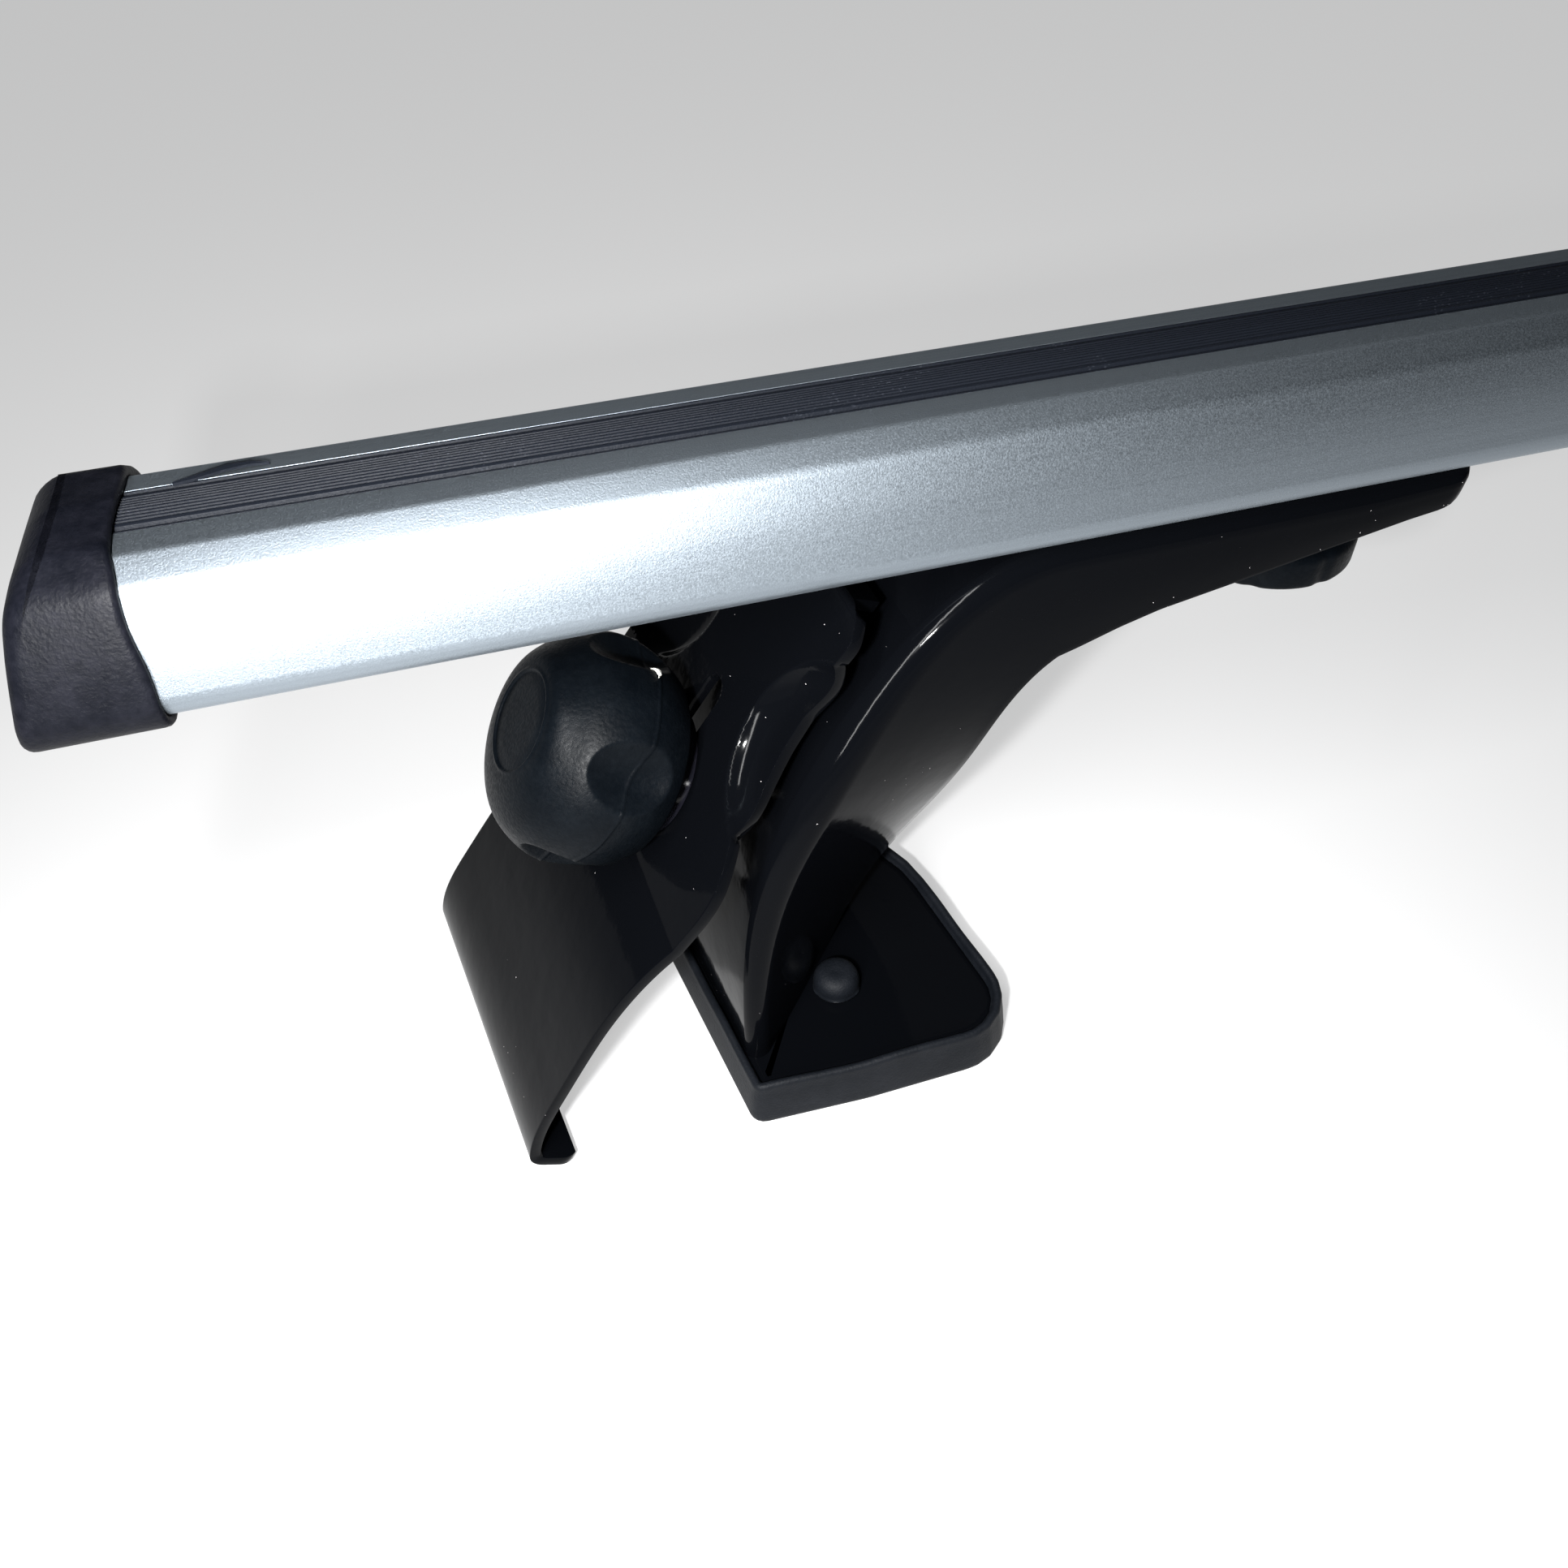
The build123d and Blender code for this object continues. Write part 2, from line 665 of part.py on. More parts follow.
# Write each piece: the bar's own once, the others at the left and mirrored at the right
os.makedirs("parts", exist_ok=True)
for name, piece in (
    ("bar_extrusion", bar_extrusion),
    ("slot_rubber_strip", slot_rubber_strip),
):
    piece.part.label = name
    export_step(piece.part, f"parts/{name}.step")

for name, piece in (
    ("end_cap", end_cap),
    ("foot_bracket", foot_bracket),
    ("foot_pad", foot_pad),
    ("clamp_strap", clamp_strap),
    ("clamp_stud", clamp_stud),
    ("clamp_washer", clamp_washer),
    ("clamp_knob", clamp_knob),
    ("knob_insert", knob_insert),
    ("bar_bolt", bar_bolt),
    ("bar_washer", bar_washer),
    ("bar_nut", bar_nut),
    ("nut_insert", nut_insert),
):
    with BuildPart() as twin:
        mirror(piece.part, about=Plane.YZ)
    piece.part.label = f"{name}_left"
    twin.part.label = f"{name}_right"
    export_step(piece.part, f"parts/{name}_left.step")
    export_step(twin.part, f"parts/{name}_right.step")
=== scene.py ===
import math

import bmesh
import bpy
import numpy as np
from mathutils import Matrix, Vector


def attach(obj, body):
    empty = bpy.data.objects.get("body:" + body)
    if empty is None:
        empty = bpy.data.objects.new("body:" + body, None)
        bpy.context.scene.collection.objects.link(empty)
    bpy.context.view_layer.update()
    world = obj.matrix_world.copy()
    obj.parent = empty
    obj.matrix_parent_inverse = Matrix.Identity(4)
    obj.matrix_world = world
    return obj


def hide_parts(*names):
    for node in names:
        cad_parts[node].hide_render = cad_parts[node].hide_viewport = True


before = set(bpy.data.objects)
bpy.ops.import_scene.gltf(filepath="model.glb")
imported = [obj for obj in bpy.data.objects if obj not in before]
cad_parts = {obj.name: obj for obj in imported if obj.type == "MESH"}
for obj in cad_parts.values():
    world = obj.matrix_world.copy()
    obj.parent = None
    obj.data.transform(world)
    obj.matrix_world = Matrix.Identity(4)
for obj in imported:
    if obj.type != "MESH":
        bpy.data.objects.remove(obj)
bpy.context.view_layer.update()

# Studio: a pale floor that the pads stand on, seen from above the left foot, as in the
# photograph. A small flash and a tall strip light by the camera give the bar its hot spot
# and the enamel its highlights, and a dim panel and the glowing floor soften the shadows.
def put_in_scene(name, data):
    """A new object of the scene that shows this data."""
    made = bpy.data.objects.new(name, data)
    bpy.context.scene.collection.objects.link(made)
    return made


camera = put_in_scene("camera", bpy.data.cameras.new("camera"))
bpy.context.scene.camera = camera
camera.data.sensor_width = 36.0
camera.data.lens = 27.95
camera_right = Vector((0.96260, -0.26931, -0.02976))
camera_up = Vector((0.21000, 0.67218, 0.70998))
camera_back = camera_right.cross(camera_up)
camera_place = Vector((-0.50071, -0.22648, 0.31385))
camera_turn = Matrix((camera_right, camera_up, camera_back)).transposed()
camera.matrix_world = Matrix.Translation(camera_place) @ camera_turn.to_4x4()
camera.data.clip_start = 0.01

studio_sky = bpy.data.worlds.new("studio_sky")
studio_sky.use_nodes = True
sky_colour = studio_sky.node_tree.nodes["Background"]
sky_colour.inputs["Color"].default_value = (0.84, 0.92, 1.0, 1.0)
sky_colour.inputs["Strength"].default_value = 0.04
bpy.context.scene.world = studio_sky
bpy.context.scene.view_settings.view_transform = "Standard"


def hang_panel(name, place, aim, width, height, power):
    """One soft light panel, turned towards the point that it lights."""
    light = bpy.data.lights.new(name, "AREA")
    light.shape = "RECTANGLE"
    light.size = width
    light.size_y = height
    light.energy = power
    panel = put_in_scene(name, light)
    panel.location = place
    panel.rotation_euler = (Vector(aim) - Vector(place)).to_track_quat("-Z", "Y").to_euler()


flash_place = camera_place - camera_up * 0.03 - camera_right * 0.05
hang_panel("flash", flash_place, aim=(-0.45, 0.0, 0.1), width=0.016, height=0.016, power=2.6)
strip_place = camera_place - camera_right * 0.09 - camera_up * 0.01
hang_panel("strip_light", strip_place, aim=(-0.47, 0.0, 0.1), width=0.022, height=0.36, power=2.8)
hang_panel("top_panel", (0.1, 0.5, 1.6), aim=(-0.3, 0.0, 0.1), width=1.4, height=1.0, power=1.4)

floor_mesh = bpy.data.meshes.new("studio_floor")
floor_mesh.from_pydata([(-9, -9, 0), (9, -9, 0), (9, 9, 0), (-9, 9, 0)], [], [(0, 1, 2, 3)])
studio_floor = put_in_scene("studio_floor", floor_mesh)
floor_paint = bpy.data.materials.new("floor_paint")
floor_paint.use_nodes = True
floor_surface = floor_paint.node_tree.nodes["Principled BSDF"]
floor_surface.inputs["Base Color"].default_value = (0.35, 0.35, 0.35, 1.0)
floor_surface.inputs["Roughness"].default_value = 0.9
floor_surface.inputs["Specular IOR Level"].default_value = 0.1
floor_surface.inputs["Emission Color"].default_value = (1.0, 1.0, 1.0, 1.0)
floor_surface.inputs["Emission Strength"].default_value = 0.52
floor_mesh.materials.append(floor_paint)


# Bar: an aluminium extrusion, satin anodised, with a T slot along its top and another
# along its underside. The same shape runs from cap to cap, so its section is drawn once
# and drawn out along X by a node tree, which the rubber strip uses too.
def rounded_outline(corners, radii, steps=6):
    """Closed outline through the corners, each turned with its own radius."""
    points = []
    for index, corner in enumerate(corners):
        here = Vector(corner)
        before = (Vector(corners[index - 1]) - here).normalized()
        after = (Vector(corners[(index + 1) % len(corners)]) - here).normalized()
        half = math.acos(max(-1.0, min(1.0, before.dot(after)))) / 2
        if radii[index] == 0 or half > math.pi / 2 - 0.01:
            points.append(tuple(here))
            continue
        run = radii[index] / math.tan(half)
        middle = here + (before + after).normalized() * (radii[index] / math.sin(half))
        start = here + before * run - middle
        end = here + after * run - middle
        for step in range(steps + 1):
            share = step / steps
            spoke = start.lerp(end, share).normalized() * radii[index]
            points.append(tuple(middle + spoke))
    return points


def link_all(tree, links):
    """Links of a node tree, each given as (node, output, node, input)."""
    for source, output, target, socket in links:
        tree.links.new(source.outputs[output], target.inputs[socket])


def piece_tree(name, geometry, numbers):
    """Node tree that takes a geometry, some numbers and a finish, with its input node."""
    tree = bpy.data.node_groups.new(name, "GeometryNodeTree")
    kinds = [(geometry, "Geometry"), *[(label, "Float") for label in numbers]]
    for label, kind in kinds + [("Finish", "Material")]:
        tree.interface.new_socket(label, in_out="INPUT", socket_type=f"NodeSocket{kind}")
    tree.interface.new_socket("Piece", in_out="OUTPUT", socket_type="NodeSocketGeometry")
    return tree, tree.nodes.new("NodeGroupInput")


def give_piece(tree, given, last):
    """Ends the node tree: the last geometry, made real and painted, is the piece."""
    real = tree.nodes.new("GeometryNodeRealizeInstances")
    painted = tree.nodes.new("GeometryNodeSetMaterial")
    made = tree.nodes.new("NodeGroupOutput")
    links = [
        (last, "Geometry", real, "Geometry"),
        (real, "Geometry", painted, "Geometry"),
        (given, "Finish", painted, "Material"),
        (painted, "Geometry", made, "Piece"),
    ]
    link_all(tree, links)


# Node tree that draws a flat section out along X and closes both ends
section_tree, given = piece_tree("drawn_out_section", "Section", ("Length", "Crease Angle"))
nodes = section_tree.nodes
drawn = nodes.new("GeometryNodeExtrudeMesh")
drawn.mode = "FACES"
drawn.inputs["Individual"].default_value = False
way = nodes.new("ShaderNodeCombineXYZ")
way.inputs["X"].default_value = 1.0
near_end = nodes.new("GeometryNodeFlipFaces")
joined = nodes.new("GeometryNodeJoinGeometry")
welded = nodes.new("GeometryNodeMergeByDistance")
welded.inputs["Distance"].default_value = 0.00001
smooth = nodes.new("GeometryNodeSetShadeSmooth")
bend = nodes.new("GeometryNodeInputMeshEdgeAngle")
sharp = nodes.new("FunctionNodeCompare")
sharp.operation = "GREATER_THAN"
creased = nodes.new("GeometryNodeSetShadeSmooth")
creased.domain = "EDGE"
creased.inputs["Shade Smooth"].default_value = False
links = [
    (given, "Section", drawn, "Mesh"),
    (way, "Vector", drawn, "Offset"),
    (given, "Length", drawn, "Offset Scale"),
    (given, "Section", near_end, "Mesh"),
    (drawn, "Mesh", joined, "Geometry"),
    (near_end, "Mesh", joined, "Geometry"),
    (joined, "Geometry", welded, "Geometry"),
    (welded, "Geometry", smooth, "Geometry"),
    (bend, "Unsigned Angle", sharp, "A"),
    (given, "Crease Angle", sharp, "B"),
    (smooth, "Geometry", creased, "Geometry"),
    (sharp, "Result", creased, "Selection"),
]
link_all(section_tree, links)
give_piece(section_tree, given, creased)


def make_plain(piece):
    """Turns a piece's modifiers into its mesh and takes them off."""
    graph = bpy.context.evaluated_depsgraph_get()
    shape = bpy.data.meshes.new_from_object(piece.evaluated_get(graph), depsgraph=graph)
    piece.modifiers.clear()
    piece.data = shape
    return piece


def run_tree(piece, tree, **values):
    """Runs a node tree on a piece, with these values for the inputs of the same names."""
    modifier = piece.modifiers.new(tree.name, "NODES")
    modifier.node_group = tree
    for item in tree.interface.items_tree:
        if item.item_type == "SOCKET" and item.in_out == "INPUT":
            key = item.name.lower().replace(" ", "_")
            if key in values:
                modifier[item.identifier] = values[key]
    return make_plain(piece)


def draw_out(name, outline, finish):
    """A piece with the same section from cap to cap, drawn in millimetres from the bar's top."""
    section = bpy.data.meshes.new(name)
    corners = [(-bar_end, y * millimetre, z * millimetre + bar_top) for y, z in outline]
    section.from_pydata(corners, [], [tuple(range(len(corners)))])
    piece = put_in_scene(name, section)
    if section.polygons[0].normal.x < 0:
        section.flip_normals()
    return run_tree(piece, section_tree, length=2 * bar_end, crease_angle=section_crease, finish=finish)


def mirrored(corners):
    """The same corners on the other side of the middle, in reverse order."""
    return [(-y, z) for y, z in reversed(corners)]


def shader_group(name, inputs, output):
    """An empty shader node group with named sockets, and its input and output nodes."""
    group = bpy.data.node_groups.new(name, "ShaderNodeTree")
    for label in inputs:
        group.interface.new_socket(label, in_out="INPUT", socket_type="NodeSocketFloat")
    group.interface.new_socket("Place", in_out="INPUT", socket_type="NodeSocketVector")
    group.interface.new_socket(output, in_out="OUTPUT", socket_type="NodeSocketFloat")
    return group, group.nodes.new("NodeGroupInput"), group.nodes.new("NodeGroupOutput")


def link_ramp(tree, value, low, high, reach=(0.0, 1.0)):
    """Map Range from value between low and high; returns its result socket."""
    ramp = tree.nodes.new("ShaderNodeMapRange")
    for label, number in zip(("From Min", "From Max", "To Min", "To Max"), (low, high, *reach)):
        ramp.inputs[label].default_value = number
    tree.links.new(value, ramp.inputs["Value"])
    return ramp.outputs["Result"]


def noise_node(tree, scale=5.0, detail=2.0, roughness=0.5):
    """A noise texture with its three values."""
    noise = tree.nodes.new("ShaderNodeTexNoise")
    noise.inputs["Scale"].default_value = scale
    noise.inputs["Detail"].default_value = detail
    noise.inputs["Roughness"].default_value = roughness
    return noise


def maths_node(tree, operation, second=0.5):
    """A maths node with its second value."""
    node = tree.nodes.new("ShaderNodeMath")
    node.operation = operation
    node.inputs[1].default_value = second
    return node


# Fine grain: a height that looks like blasted, moulded or anodised surface grain
grain_group, grain_in, grain_out = shader_group("fine_grain", ["Scale"], "Height")
grain_noise = noise_node(grain_group, detail=3.0)
links = [
    (grain_in, "Place", grain_noise, "Vector"),
    (grain_in, "Scale", grain_noise, "Scale"),
    (grain_noise, "Fac", grain_out, "Height"),
]
link_all(grain_group, links)

# Scuffs: broken streaks where hands and straps have rubbed, as a mask
scuff_group, scuff_in, scuff_out = shader_group("rubbed_scuffs", ["Scale", "Amount"], "Mask")
scuff_patch = noise_node(scuff_group, detail=6.0, roughness=0.7)
scuff_fine = noise_node(scuff_group, 700.0, 4.0)
scuff_spread = maths_node(scuff_group, "MULTIPLY", 0.5)
scuff_level = maths_node(scuff_group, "SUBTRACT")
scuff_level.inputs[0].default_value = 0.95
scuff_range = scuff_group.nodes.new("ShaderNodeMapRange")
scuff_both = maths_node(scuff_group, "MULTIPLY")
links = [
    (scuff_in, "Place", scuff_patch, "Vector"),
    (scuff_in, "Place", scuff_fine, "Vector"),
    (scuff_in, "Scale", scuff_patch, "Scale"),
    (scuff_in, "Amount", scuff_spread, 0),
    (scuff_spread, "Value", scuff_level, 1),
    (scuff_patch, "Fac", scuff_range, "Value"),
    (scuff_level, "Value", scuff_range, "From Min"),
    (scuff_range, "Result", scuff_both, 0),
    (scuff_fine, "Fac", scuff_both, 1),
    (scuff_both, "Value", scuff_out, "Mask"),
]
link_all(scuff_group, links)

# Specks: small bright dots of dust and chipped paint, as a mask
speck_group, speck_in, speck_out = shader_group("dust_specks", ["Scale", "Size"], "Mask")
speck_cells = speck_group.nodes.new("ShaderNodeTexVoronoi")
speck_few = noise_node(speck_group, 25.0)
speck_near = maths_node(speck_group, "LESS_THAN")
speck_some = maths_node(speck_group, "GREATER_THAN", 0.56)
speck_both = maths_node(speck_group, "MULTIPLY")
links = [
    (speck_in, "Place", speck_cells, "Vector"),
    (speck_in, "Place", speck_few, "Vector"),
    (speck_in, "Scale", speck_cells, "Scale"),
    (speck_cells, "Distance", speck_near, 0),
    (speck_in, "Size", speck_near, 1),
    (speck_few, "Fac", speck_some, 0),
    (speck_near, "Value", speck_both, 0),
    (speck_some, "Value", speck_both, 1),
    (speck_both, "Value", speck_out, "Mask"),
]
link_all(speck_group, links)


def new_finish(name, metallic, roughness, specular=0.5):
    """A material, its node tree and surface node, and the place on the piece."""
    finish = bpy.data.materials.new(name)
    finish.use_nodes = True
    tree = finish.node_tree
    surface = tree.nodes["Principled BSDF"]
    surface.inputs["Metallic"].default_value = metallic
    surface.inputs["Roughness"].default_value = roughness
    surface.inputs["Specular IOR Level"].default_value = specular
    where = tree.nodes.new("ShaderNodeTexCoord")
    return finish, tree, surface, where.outputs["Object"]


def place_group(tree, group, place, *values):
    """One use of a shared effect, with its own values in the order of its sockets."""
    node = tree.nodes.new("ShaderNodeGroup")
    node.node_tree = group
    tree.links.new(place, node.inputs["Place"])
    for socket, value in zip(node.inputs, values):
        socket.default_value = value
    return node


def link_blend(tree, share, first, second):
    """Mix of two colours by a mask; returns the colour socket."""
    mix = tree.nodes.new("ShaderNodeMix")
    mix.data_type = "RGBA"
    tree.links.new(share, mix.inputs["Factor"])
    for label, colour in (("A", first), ("B", second)):
        socket = next(s for s in mix.inputs if s.name == label and s.type == "RGBA")
        if isinstance(colour, tuple):
            socket.default_value = (*colour, 1.0)
        else:
            tree.links.new(colour, socket)
    return next(s for s in mix.outputs if s.type == "RGBA")


def link_bump(tree, surface, height, strength, distance):
    """Bump from a height, on the surface node's Normal."""
    bump = tree.nodes.new("ShaderNodeBump")
    bump.inputs["Strength"].default_value = strength
    bump.inputs["Distance"].default_value = distance
    tree.links.new(height, bump.inputs["Height"])
    tree.links.new(bump.outputs["Normal"], surface.inputs["Normal"])


anodised, tree, surface, place = new_finish("anodised_aluminium", 1.0, 0.3)
along = tree.nodes.new("ShaderNodeMapping")
along.inputs["Scale"].default_value = (3.0, 900.0, 900.0)
tree.links.new(place, along.inputs["Vector"])
draw_lines = noise_node(tree, 1.0, 4.0)
tree.links.new(along.outputs["Vector"], draw_lines.inputs["Vector"])
bar_lines = link_ramp(tree, draw_lines.outputs["Fac"], 0.3, 0.7)
bar_tone = link_blend(tree, bar_lines, (0.235, 0.268, 0.30), (0.258, 0.294, 0.328))
tree.links.new(bar_tone, surface.inputs["Base Color"])
bar_grain = place_group(tree, grain_group, place, 2600.0).outputs["Height"]
bar_shine = link_ramp(tree, bar_grain, 0.3, 0.7, (0.40, 0.54))
tree.links.new(bar_shine, surface.inputs["Roughness"])
link_bump(tree, surface, bar_grain, 0.35, 0.00015)

millimetre = 0.001
bar_top = 193 * millimetre
bar_end = 586.6 * millimetre
slot_half = 7.6
section_crease = math.radians(28)
slot_corners = [(0, -10.5), (9, -10.5), (9, -4), (5.25, -4), (5.25, -2.2), (slot_half, -2.2)]
slot_corners += [(slot_half, -0.52)]
outer_corners = [(14.5, -1.0), (20.6, -4.6), (24.75, -15.0), (26.5, -26.0), (25.0, -32.0)]
outer_radii = [3.0, 4.5, 60.0, 5.2, 5.2]
low_corners = [(4.5, -32.0), (4.5, -29.6), (9.5, -29.6), (9.5, -23.1), (0, -23.1)]
bar_corners = slot_corners + outer_corners + low_corners
bar_radii = [0, 0.4, 0.4, 0.2, 0.2, 0.2, 0.08] + outer_radii + [0.3, 0.3, 0.4, 0.4, 0]
bar_outline = rounded_outline(
    bar_corners + mirrored(bar_corners[1:-1]), bar_radii + bar_radii[-2:0:-1]
)
bar = draw_out("anodised_bar", bar_outline, anodised)
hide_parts("bar_extrusion")
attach(bar, "crossbar")


# Slot strip: extruded black rubber that fills the top slot from cap to cap. Nine fine
# grooves run along its middle between two smooth margins, with dust on the rubber.
def marked_finish(name, roughness, specular, base, marks, grain=None, shine=None, metallic=0.0):
    """A finish whose base colour has marks over it, each (effect, scale, amount, colour).

    grain is the scale, strength and distance of its bump. shine is what the roughness follows,
    the first of the marks or the grain, and from where to where, and the roughness there.
    """
    finish, tree, surface, place = new_finish(name, metallic, roughness, specular)
    follow = {}
    tone = base
    for effect, scale, amount, colour in marks:
        mask = place_group(tree, effect, place, scale, amount).outputs["Mask"]
        follow.setdefault("marks", mask)
        tone = link_blend(tree, mask, tone, colour)
    tree.links.new(tone, surface.inputs["Base Color"])
    if grain:
        scale, strength, distance = grain
        follow["grain"] = place_group(tree, grain_group, place, scale).outputs["Height"]
        link_bump(tree, surface, follow["grain"], strength, distance)
    if shine:
        source, low, high, reach = shine
        ramp = link_ramp(tree, follow[source], low, high, reach)
        tree.links.new(ramp, surface.inputs["Roughness"])
    return finish


strip_rubber = marked_finish(
    "strip_rubber",
    roughness=0.55,
    specular=0.12,
    base=(0.0042, 0.0054, 0.0084),
    marks=[(speck_group, 900.0, 0.22, (0.013, 0.015, 0.020))],
    grain=(1800.0, 0.5, 0.0002),
)

rib_pitch = 1.06
rib_count = 10
groove_depth = 0.55
strip_margin = [(-7.5, -0.53), (-6.95, -0.55), (-6.8, -1.3), (-5.75, -1.2), (-5.6, -0.42)]
margin_radii = [0.15, 0.15, 0.2, 0.2, 0.15]
strip_foot = [(7.5, -2.2), (5.15, -2.2), (5.15, -4.0), (6.5, -4.0), (6.5, -5.6)]
strip_corners = list(strip_margin)
strip_radii = list(margin_radii)
for groove in range(1, rib_count):
    middle = (groove - rib_count / 2) * rib_pitch
    for across, drop in ((-0.33, 0.0), (-0.2, groove_depth), (0.2, groove_depth), (0.33, 0.0)):
        strip_corners.append((middle + across, -abs(middle) * 0.07 - drop))
        strip_radii.append(0.12)
strip_corners += mirrored(strip_margin) + strip_foot + mirrored(strip_foot)
strip_radii += margin_radii[::-1] + [0.2] * 2 * len(strip_foot)
strip_outline = rounded_outline(strip_corners, strip_radii, steps=3)
strip = draw_out("ribbed_strip", strip_outline, strip_rubber)
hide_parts("slot_rubber_strip")
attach(strip, "crossbar")


def skin_rings(name, rings, finish, closed=True, crease=math.radians(40), looped=False):
    """Shell through rings in millimetres: with filled ends, or a looped tube, or an open sheet."""
    shell = bmesh.new()
    rows = [[shell.verts.new(point) for point in np.array(ring) * millimetre] for ring in rings]
    count = len(rows[0])
    last = count if closed else count - 1
    for low, high in zip(rows, rows[1:] + rows[:1] if looped else rows[1:]):
        for index in range(last):
            nearby = (index + 1) % count
            shell.faces.new((low[index], low[nearby], high[nearby], high[index]))
    if closed and not looped:
        shell.faces.new(rows[0][::-1])
        shell.faces.new(rows[-1])
    if closed:
        bmesh.ops.recalc_face_normals(shell, faces=shell.faces)
    mesh = bpy.data.meshes.new(name)
    shell.to_mesh(mesh)
    shell.free()
    mesh.shade_smooth()
    mesh.set_sharp_from_angle(angle=crease)
    mesh.materials.append(finish)
    return put_in_scene(name, mesh)


# A sliver of the strip's far margin that has torn loose near the left cap and lies on the bar
torn_path = [(-562.0, 6.9, 192.9), (-557.9, 7.6, 193.2), (-552.0, 9.4, 193.35), (-547.5, 9.7, 193.3)]
torn_path += [(-544.0, 9.2, 192.9)]
torn_widths = [0.5, 1.0, 1.3, 0.9, 0.15]
torn_rows = []
for (x, y, z), width in zip(torn_path, torn_widths):
    loop = [(x, y - width, z - 0.35), (x, y + width, z - 0.45), (x, y + width, z + 0.1)]
    loop += [(x, y, z + 0.32), (x, y - width, z + 0.2)]
    torn_rows.append(loop)
torn_piece = skin_rings("torn_strip_sliver", torn_rows, strip_rubber, crease=0.0)
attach(torn_piece, "crossbar")


# End caps: moulded rubber, pushed over the bar's ends. The mouth is a thin wavy lip, the
# closed end slants back towards the top, and both have scuffs and a bluish bloom.
def even_points(line, count, closed=True):
    """The line again with evenly spaced points; a closed one goes back to its start."""
    line = np.array(list(line) + [line[0]] * closed, float)
    run = np.concatenate([[0], np.cumsum(np.linalg.norm(np.diff(line, axis=0), axis=1))])
    spaced = np.linspace(0, run[-1], count, endpoint=not closed)
    return np.stack([np.interp(spaced, run, line[:, axis]) for axis in (0, 1)], axis=1)


def grown(ring, amount):
    """The closed outline moved outwards by an amount; outlines run anticlockwise."""
    way = np.roll(ring, -1, axis=0) - np.roll(ring, 1, axis=0)
    way /= np.linalg.norm(way, axis=1)[:, None]
    return ring + amount * np.stack([way[:, 1], -way[:, 0]], axis=1)


def anticlockwise(ring):
    """The outline, turned round if it runs clockwise."""
    following = np.roll(ring, -1, axis=0)
    area = np.sum(ring[:, 0] * following[:, 1] - following[:, 0] * ring[:, 1])
    return ring if area > 0 else ring[::-1].copy()


def mirror_piece(piece, name):
    """The same piece for the bar's right end."""
    mesh = piece.data.copy()
    mesh.transform(Matrix.Scale(-1, 4, (1, 0, 0)))
    mesh.flip_normals()
    return put_in_scene(name, mesh)


def fit_pair(piece, node, body):
    """Puts the left piece and its mirrored twin in place of their nodes."""
    twin = mirror_piece(piece, piece.name.replace("_left", "_right"))
    for made, side in ((piece, "left"), (twin, "right")):
        if node:
            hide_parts(f"{node}_{side}")
        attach(made, body if body == "crossbar" else f"{body}_{side}")


cap_rubber = marked_finish(
    "cap_rubber",
    roughness=0.5,
    specular=0.07,
    base=(0.0014, 0.0017, 0.0030),
    marks=[
        (scuff_group, 55.0, 1.15, (0.0095, 0.0100, 0.0150)),
        (scuff_group, 170.0, 1.1, (0.0120, 0.0120, 0.0165)),
    ],
    grain=(1300.0, 0.45, 0.0003),
    shine=("marks", 0.0, 0.6, (0.42, 0.66)),
)

cap_corners = [(0, 0), *outer_corners, (0, -32.0), *mirrored(outer_corners)]
cap_radii = [0, *outer_radii, 0, *outer_radii[::-1]]
cap_ring = anticlockwise(even_points(rounded_outline(cap_corners, cap_radii), 160))
cap_mouth_x = -571.5
cap_end_x = -600.0
cap_wall = 2.4
cap_round = 3.2 + 1.2 * np.clip((cap_ring[:, 1] + 13.0) / 10.0, 0, 1)
cap_low_z = -36.8
cap_slant = 11.0 / 39.2


def cap_row(offset, share, sink=0.0, shrink=1.0):
    """One ring of the cap: share runs from the mouth to the end, sink pulls it back in."""
    ring = cap_ring + (grown(cap_ring, 1.0) - cap_ring) * np.reshape(offset, (-1, 1))
    middle = np.array([0.0, -16.0])
    ring = middle + (ring - middle) * shrink
    mouth = cap_mouth_x + 0.25 * np.sin(ring[:, 1] * 0.3 + ring[:, 0] * 0.2)
    brow = np.clip((ring[:, 1] + 9.0) / 11.0, 0, 1.1)
    end = cap_end_x + cap_slant * (ring[:, 1] - cap_low_z) + 3.4 * brow**2 + sink
    along = mouth + (end - mouth) * share
    return np.stack([along, ring[:, 0], ring[:, 1] + bar_top / millimetre], axis=1)


cap_rows = [cap_row(0.15, 0.12), cap_row(0.2, 0.0), cap_row(0.9, -0.02), cap_row(1.7, -0.015)]
cap_rows += [cap_row(2.25, 0.01), cap_row(cap_wall, 0.05)]
cap_rows += [cap_row(cap_wall, share) for share in (0.2, 0.35, 0.5, 0.65, 0.8)]
for turn in range(7):
    angle = math.radians(15 * turn)
    inward = cap_round * (1 - math.cos(angle))
    cap_rows.append(cap_row(cap_wall - inward, 1.0, cap_round * (1 - math.sin(angle))))
cap_rows += [cap_row(cap_wall - cap_round, 1.0, 0.0, 1 - 0.16 * turn) for turn in range(1, 6)]
cap = skin_rings("moulded_cap_left", cap_rows, cap_rubber, crease=math.radians(60))
fit_pair(cap, "end_cap", "crossbar")


